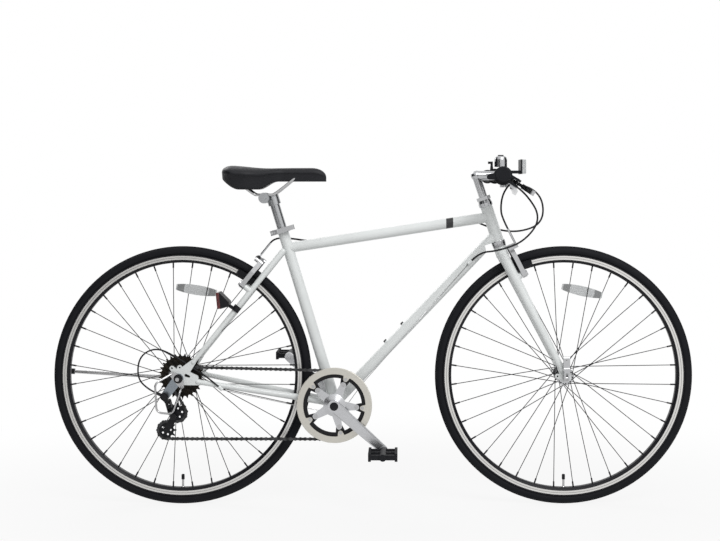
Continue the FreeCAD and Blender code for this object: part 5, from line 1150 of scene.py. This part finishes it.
@dataclass
class Saddle:
    """Foam saddle on a moulded pan, with a stitched edge and two sprung rails."""

    along: AlongPath
    tail: float = -395 * MM
    length: float = 271 * MM
    tail_half: float = 76.0
    nose_half: float = 19.0
    tail_round: float = 0.11
    nose_from: float = 0.86
    waist_from: float = 0.2
    waist_span: float = 0.4
    crown: float = 884.0
    tail_rise: float = 7.0
    tail_drop: float = 14.0
    nose_drop: float = 24.0
    underside: float = 848.0
    tail_lift: float = 10.0
    skirt_depth: float = 21.0
    skirt_middle: float = 0.255
    skirt_half: float = 0.085
    skirt_fade: float = 0.19
    stations: int = 60
    ring: int = 48
    edge_share: float = 0.38
    flank: float = 0.28
    tuck: float = 0.26
    channel: float = 2.2 * MM
    pan_from: float = 0.8
    seam_points: int = 80
    seam_from: float = 0.03
    seam_span: float = 0.94
    seam_drop: float = 1.6 * MM
    stitch_spacing: float = 3.9 * MM
    stitch_outline: tuple[tuple[float, float], ...] = (
        (0, -1.5), (0.45, -1.1), (0.5, 0), (0.45, 1.1), (0, 1.5))
    rail_radius: float = 3.5 * MM
    rail_route: tuple[Point, ...] = (
        (-352, 34, 846), (-313, 22, 813.2), (-301, 22, 813.2), (-270, 22, 813.2), (-258, 22, 813.2),
        (-200, 11, 862))

    @staticmethod
    def eased(share: float) -> float:
        """Smooth rise from 0 to 1."""
        share = min(max(share, 0.0), 1.0)
        return share * share * (3 - 2 * share)

    def outline(self, share: float) -> tuple[float, float, float]:
        """Sizes of a cross-section.

        Args:
            share: Place along the saddle, from nought at the tail to one at the nose.

        Returns:
            Half width, height of the crown and height of the underside, in metres.
        """
        tail = math.sqrt(1 - (1 - min(share / self.tail_round, 1)) ** 2)
        nose = math.sqrt(1 - min(max((share - self.nose_from) / (1 - self.nose_from), 0), 1) ** 2)
        waist = self.eased((share - self.waist_from) / self.waist_span)
        half = self.tail_half - (self.tail_half - self.nose_half) * waist
        half *= (0.35 + 0.65 * tail) * (0.4 + 0.6 * nose)
        top = self.crown + self.tail_rise * (1 - self.eased((share - 0.08) / 0.4))
        top -= self.tail_drop * (1 - tail) + self.nose_drop * (1 - nose)
        skirt = 1 - self.eased((abs(share - self.skirt_middle) - self.skirt_half) / self.skirt_fade)
        low = self.underside - self.skirt_depth * skirt + self.tail_lift * (1 - tail)
        return metres((half, top, low))

    def rim(self, share: float, side: int) -> Vector:
        """Point on the widest line of the cushion."""
        half, top, low = self.outline(share)
        return Vector((self.tail + self.length * share, side * half, top - (top - low) * self.edge_share))

    def section(self, share: float) -> list[Point]:
        """Outline of one cross-section.

        Args:
            share: Place along the saddle.

        Returns:
            Points round it, from the left edge over the top and back underneath.
        """
        half, top, low = self.outline(share)
        x = self.tail + self.length * share
        edge = top - (top - low) * self.edge_share
        points = []
        upper = self.ring // 2
        for k in range(upper):
            turn = math.pi * k / upper
            c, s = math.cos(turn), math.sin(turn)
            dip = self.channel * math.exp(-(c * 3.2) ** 2) * math.exp(-((share - 0.3) / 0.22) ** 2)
            points.append((x, half * math.copysign(abs(c) ** 0.82, c), edge + (top - edge) * s ** 0.92 - dip))
        lower = self.ring - upper
        for k in range(lower):
            t = k / lower
            side = -1 if t < 0.5 else 1
            u = min(t, 1 - t) / self.flank
            if u < 1:
                points.append((x, side * half * (1 - self.tuck * u ** 0.7), edge - (edge - low) * u))
            else:
                across = (2 * t - 1) / (1 - 2 * self.flank)
                points.append((x, half * (1 - self.tuck) * across, low))
        return points

    def cushion(self) -> Mesh:
        """Closed cushion, with its flat underside in the second material.

        Returns:
            The cushion's mesh.
        """
        points = []
        for k in range(self.stations + 1):
            share = 0.5 - 0.5 * math.cos(math.pi * k / self.stations)
            points += self.section(share)
        faces = []
        n = self.ring
        for k in range(self.stations):
            for j in range(n):
                faces.append((k * n + j, k * n + (j + 1) % n, (k + 1) * n + (j + 1) % n, (k + 1) * n + j))
        first, last = len(points), len(points) + 1
        for end in (0, self.stations):
            ring = [Vector(p) for p in points[end * n:(end + 1) * n]]
            points.append(sum(ring, Vector()) / n)
        for j in range(n):
            faces.append((first, (j + 1) % n, j))
            faces.append((last, self.stations * n + j, self.stations * n + (j + 1) % n))
        mesh = Shop.mesh("saddle_cushion", points, faces)
        for polygon in mesh.polygons:
            polygon.material_index = int(polygon.normal.z < -self.pan_from)
        return mesh

    def stitches(self) -> None:
        """Row of stitches just under the widest line, on both sides."""
        outline = [metres(p) for p in self.stitch_outline]
        stitch = Shop.link("stitch", Shop.lathe("stitch", outline, Vector(), Vector((1, 0, 0)), 6))
        rows = []
        for side in (1, -1):
            seam = []
            for k in range(self.seam_points + 1):
                at = self.rim(self.seam_from + self.seam_span * k / self.seam_points, side)
                seam.append((at.x, at.y, at.z - self.seam_drop))
            path = Shop.link("seam", Shop.curve("seam", "POLY", seam))
            rows.append(self.along.run("stitch_row", path=path, copy=stitch, spacing=self.stitch_spacing))
            bpy.data.objects.remove(path)
        bpy.data.objects.remove(stitch)
        Shop.piece("saddle_stitches", Shop.joined("saddle_stitches", rows), Slot.SADDLE, "seat", GRIP)

    def build(self) -> None:
        """Make the cushion, its stitches and the rails."""
        cushion = Shop.piece("saddle_cushion", self.cushion(), Slot.SADDLE, "seat", LEATHER, PLASTIC)
        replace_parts(cushion, "saddle")
        self.stitches()
        rails = []
        for side in (1, -1):
            route = [metres((x, side * y, z)) for x, y, z in self.rail_route]
            rails.append(Shop.tube("rail", route, self.rail_radius))
        Shop.piece("saddle_rails", Shop.joined("saddle_rails", rails), Slot.STEEL, "seat", PLATED)


CABLE_STEPS = 16


@dataclass
class BentCable:
    """Held cable on a fixed route between two bodies."""

    name: str
    route: tuple[Point, ...]
    bodies: tuple[str, str]
    start: Point
    end: Point
    node: str | None = None
    radius: float = 2.4 * MM

    def build(self) -> None:
        """Make the cable in place, riding on neither body."""
        mesh = Shop.tube(self.name, [metres(p) for p in self.route], self.radius, CABLE_STEPS)
        cable = Shop.piece(self.name, mesh, Slot.RUBBER, None, SLEEVE)
        metres(self.start)
        metres(self.end)
        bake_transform(cable)
        if self.node:
            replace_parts(cable, self.node)


@dataclass
class BrakeWire:
    """Wire between two brake arms with its ribbed rubber boot."""

    name: str
    foot: Point
    tip: Point
    body: str
    arms: tuple[str, str]
    ribs: int = 5
    pitch: float = 5.0
    bore: float = 0.9
    wire_radius: float = 1.0
    sides: int = 24
    sharp: float = 40.0

    def boot(self) -> list[tuple[float, float]]:
        """Outline of the boot, whose ribs get smaller along the wire.

        Returns:
            Radius and height of its points, in millimetres.
        """
        outline = [(self.bore, 0.0)]
        for k in range(self.ribs):
            at = k * self.pitch
            outline += [(4.5, at + 0.2), (6.0 - k * 0.4, at + 2.5), (4.3 - k * 0.2, at + 4.8)]
        return outline + [(self.bore, self.ribs * self.pitch)]

    def wire(self) -> list[tuple[float, float]]:
        """Outline of the wire, from just inside the boot's end to the other arm.

        Returns:
            Radius and height of its points, in millimetres.
        """
        start = self.ribs * self.pitch - 1.0
        end = (Vector(self.tip) - Vector(self.foot)).length
        return [(0.1, start), (self.wire_radius, start), (self.wire_radius, end), (0.1, end)]

    def build(self) -> None:
        """Make the boot and the wire, which meet at the boot's narrow end."""
        foot, tip = (Vector(metres(p)) for p in (self.foot, self.tip))
        axis = (tip - foot).normalized()
        for part, outline, arm, end, slot, finish in (
                ("boot", self.boot(), self.arms[0], foot, Slot.RUBBER, SLEEVE),
                ("wire", self.wire(), self.arms[1], tip, Slot.STEEL, PLATED)):
            mesh = Shop.lathe(part, [metres(p) for p in outline], foot, axis, self.sides)
            piece = Shop.piece(f"{self.name}_{part}", mesh, slot, None, finish)
            mesh.set_sharp_from_angle(angle=math.radians(self.sharp))
            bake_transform(piece)


@dataclass
class RearShiftCable:
    """Bare shift wire under the frame, and the smooth loop of housing to the derailleur."""

    loop: tuple[Point, ...]
    radius: float = 2.1 * MM

    def wire(self) -> Mesh:
        """Copy the wire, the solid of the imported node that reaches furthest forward.

        Returns:
            The wire's mesh.
        """
        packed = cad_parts["rear_cables"].data
        group = max(Shop.islands(packed), key=lambda g: max(packed.polygons[k].center.x for k in g))
        faces = [tuple(packed.polygons[k].vertices) for k in group]
        numbers = sorted({corner for face in faces for corner in face})
        places = {n: k for k, n in enumerate(numbers)}
        return Shop.mesh("wire", [packed.vertices[n].co for n in numbers],
                         [tuple(places[c] for c in face) for face in faces])

    def build(self) -> None:
        """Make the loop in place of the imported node, and the wire."""
        mesh = Shop.tube("rear_shift_loop", [metres(p) for p in self.loop], self.radius, CABLE_STEPS)
        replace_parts(Shop.piece("rear_shift_loop", mesh, Slot.RUBBER, "frame", SLEEVE), "rear_cables")
        Shop.piece("bare_shift_wire", self.wire(), Slot.STEEL, "frame", PLATED)


CABLES = (
    BentCable("rear_brake_cable_housing",
              ((358.3, 114.77, 850.7), (362.8, 70.0, 850.7), (448, 42, 822), (455, 34, 738), (380, 27, 711),
               (300, 28, 728), (249.57, 14.29, 754.4), (213.98, 14.29, 748.95)),
              ("frame", "steering"), (290, 0, 720), (385, 0, 815), "rear_brake_cable"),
    BentCable("shift_cable_housing",
              ((366.91, -91.21, 836.17), (392.19, -93.74, 820.22), (437, -70, 753), (391, -74, 692),
               (323, -78, 669), (279.29, -17.3, 662.14), (258.54, -17.3, 640.47)),
              ("frame", "steering"), (300, 0, 690), (345, 0, 815), "shift_cable"),
    BentCable("front_brake_cable_housing",
              ((358.3, -114.77, 850.7), (362.08, -76.96, 850.7), (337, -54, 818), (332, -42, 772),
               (342, -38, 744.2), (351.68, -38.0, 725.19)),
              ("steering", "front_arm_right"), (335, -38, 775), (350, -38, 728.5), "front_brake_cable"),
    BentCable("rear_brake_tail",
              ((213.98, 14.29, 748.95), (-128.0, 14.29, 696.47), (-148.8, 14.29, 693.3),
               (-168.57, 14.29, 690.32), (-222, 27, 698), (-264.39, 38, 697.91), (-274.47, 38, 685.48)),
              ("frame", "rear_arm_left"), (-225, 27, 698), (-272.5, 38, 688.0)),
    BrakeWire("front_brake", (374.44, -15.8, 680.56), (374.44, 31.0, 680.56), "steering",
              ("front_arm_right", "front_arm_left")),
    BrakeWire("rear_brake", (-306.04, 15.8, 646.57), (-306.04, -31.0, 646.57), "frame",
              ("rear_arm_left", "rear_arm_right")),
    RearShiftCable(((-396.0, -70.5, 316.0), (-430.2, -72.0, 345.2), (-459, -64.3, 360), (-515, -64.3, 398),
                    (-560, -76, 420), (-601, -84, 398), (-606, -84, 342), (-578.1, -84, 312.9),
                    (-555.26, -84.0, 302.78))),
)


@dataclass
class Studio:
    """Pale floor, soft light and the camera of the photograph."""

    image: tuple[int, int] = (720, 541)
    centre: tuple[float, float] = (400.0, 190.0)
    camera_at: Point = (0.0706, -3.5, 0.826)
    focal_pixels: float = 1327.0
    sensor: float = 36.0
    daylight: float = 0.55
    floor_half: float = 9.0
    floor_grey: float = 0.55
    floor_fade: tuple[float, float, float, float] = (0.6, 1.9, 0.88, 1.0)
    flag_height: float = 2.6

    def camera(self) -> None:
        """Camera square to the bicycle's side."""
        wide, high = self.image
        data = bpy.data.cameras.new("camera")
        data.sensor_width = self.sensor
        data.lens = self.focal_pixels / wide * self.sensor
        data.shift_x = (wide / 2 - self.centre[0]) / wide
        data.shift_y = -(high / 2 - self.centre[1]) / wide
        thing = Shop.link("camera", data)
        thing.location = self.camera_at
        thing.rotation_euler = (math.pi / 2, 0, 0)
        bpy.context.scene.camera = thing

    @staticmethod
    def seen(graph: Graph) -> Wire:
        """Tell the rays that show the white surroundings.

        Args:
            graph: The tree that asks.

        Returns:
            One for rays from the camera, a mirror or glass.
        """
        camera, glossy, through = (graph.node("ShaderNodeLightPath", out=f"Is {kind} Ray")
                                   for kind in ("Camera", "Glossy", "Transmission"))
        return camera.larger(glossy).larger(through)

    def floor(self) -> None:
        """Pale floor that fades into the white background and keeps the shadow."""
        size = self.floor_half
        corners = [(-size, -size, 0), (size, -size, 0), (size, size, 0), (-size, size, 0)]
        mesh = Shop.mesh("floor", corners, [(0, 1, 2, 3)])
        graph = MaterialGraph("pale_floor")
        x, y, _ = graph.axes(graph.place())
        far = graph.ease((x * x + y * y * 1.6) ** 0.5, *self.floor_fade)
        graph.surface(base_color=(self.floor_grey,) * 3, roughness=0.9)
        white = graph.node("ShaderNodeEmission", {}, {"Color": (1.0, 1.0, 1.0), "Strength": 1.0})
        mixed = graph.node("ShaderNodeMixShader", {}, {
            0: far * self.seen(graph), 1: Wire(graph, graph.shader.outputs[0]), 2: white})
        graph.feed(graph.output.inputs[0], mixed)
        mesh.materials.append(graph.material)
        Shop.link("floor", mesh)

    def sky(self) -> None:
        """Even white surroundings that light the object less than they show."""
        world = bpy.data.worlds.new("studio")
        bpy.context.scene.world = world
        world.use_nodes = True
        graph = Graph(world.node_tree)
        shown = self.seen(graph)
        back = graph.node("ShaderNodeBackground", {}, {
            "Color": (1.0, 1.0, 1.0), "Strength": shown * (1.0 - self.daylight) + self.daylight})
        out = graph.tree.nodes.new("ShaderNodeOutputWorld")
        graph.feed(out.inputs[0], back)

    def lamps(self) -> None:
        """A large soft lamp above the camera and a weaker one behind."""
        for name, at, turn, size, power in (
                ("key", (1.5, -2.6, 3.2), (45, 0, 30), 2.0, 82.0),
                ("rim", (-1.8, 2.4, 2.6), (-48, 0, 38), 1.8, 30.0)):
            data = bpy.data.lights.new(name, "AREA")
            data.energy = power
            data.size = size
            thing = Shop.link(name, data)
            thing.location = at
            thing.rotation_euler = tuple(math.radians(a) for a in turn)

    def flags(self) -> None:
        """Dark panels that only mirrors show, as a studio hangs them round bright metal."""
        graph = MaterialGraph("dark_flag")
        graph.surface(base_color=(0.02, 0.02, 0.025), roughness=1.0, specular_ior_level=0.0)
        for name, start, end in (
                ("left_flag", (-2.6, -2.2), (-2.6, 1.6)),
                ("right_flag", (2.8, -0.9), (2.8, 1.6)),
                ("front_flag", (-4.4, -4.2), (-1.3, -5.0))):
            corners = [(*start, 0.0), (*end, 0.0), (*end, self.flag_height), (*start, self.flag_height)]
            mesh = Shop.mesh(name, corners, [(0, 1, 2, 3)])
            mesh.materials.append(graph.material)
            flag = Shop.link(name, mesh)
            flag.visible_camera = False
            flag.visible_diffuse = False
            flag.visible_shadow = False

    def build(self) -> None:
        """Set the stage."""
        bpy.context.scene.view_settings.view_transform = "Standard"
        self.sky()
        self.floor()
        self.lamps()
        self.flags()
        self.camera()


def main() -> None:
    """Build the bicycle's looks in order."""
    logging.basicConfig(level=logging.INFO, format="%(name)s: %(message)s")
    Dresser().dress()
    around = AroundAxle()
    along = AlongPath()
    Tyre("front", FRONT_HUB, around).build()
    Tyre("rear", REAR_HUB, around).build()
    Saddle(along).build()
    for cable in CABLES:
        cable.build()
    Studio().build()


if __name__ == "__main__":
    main()
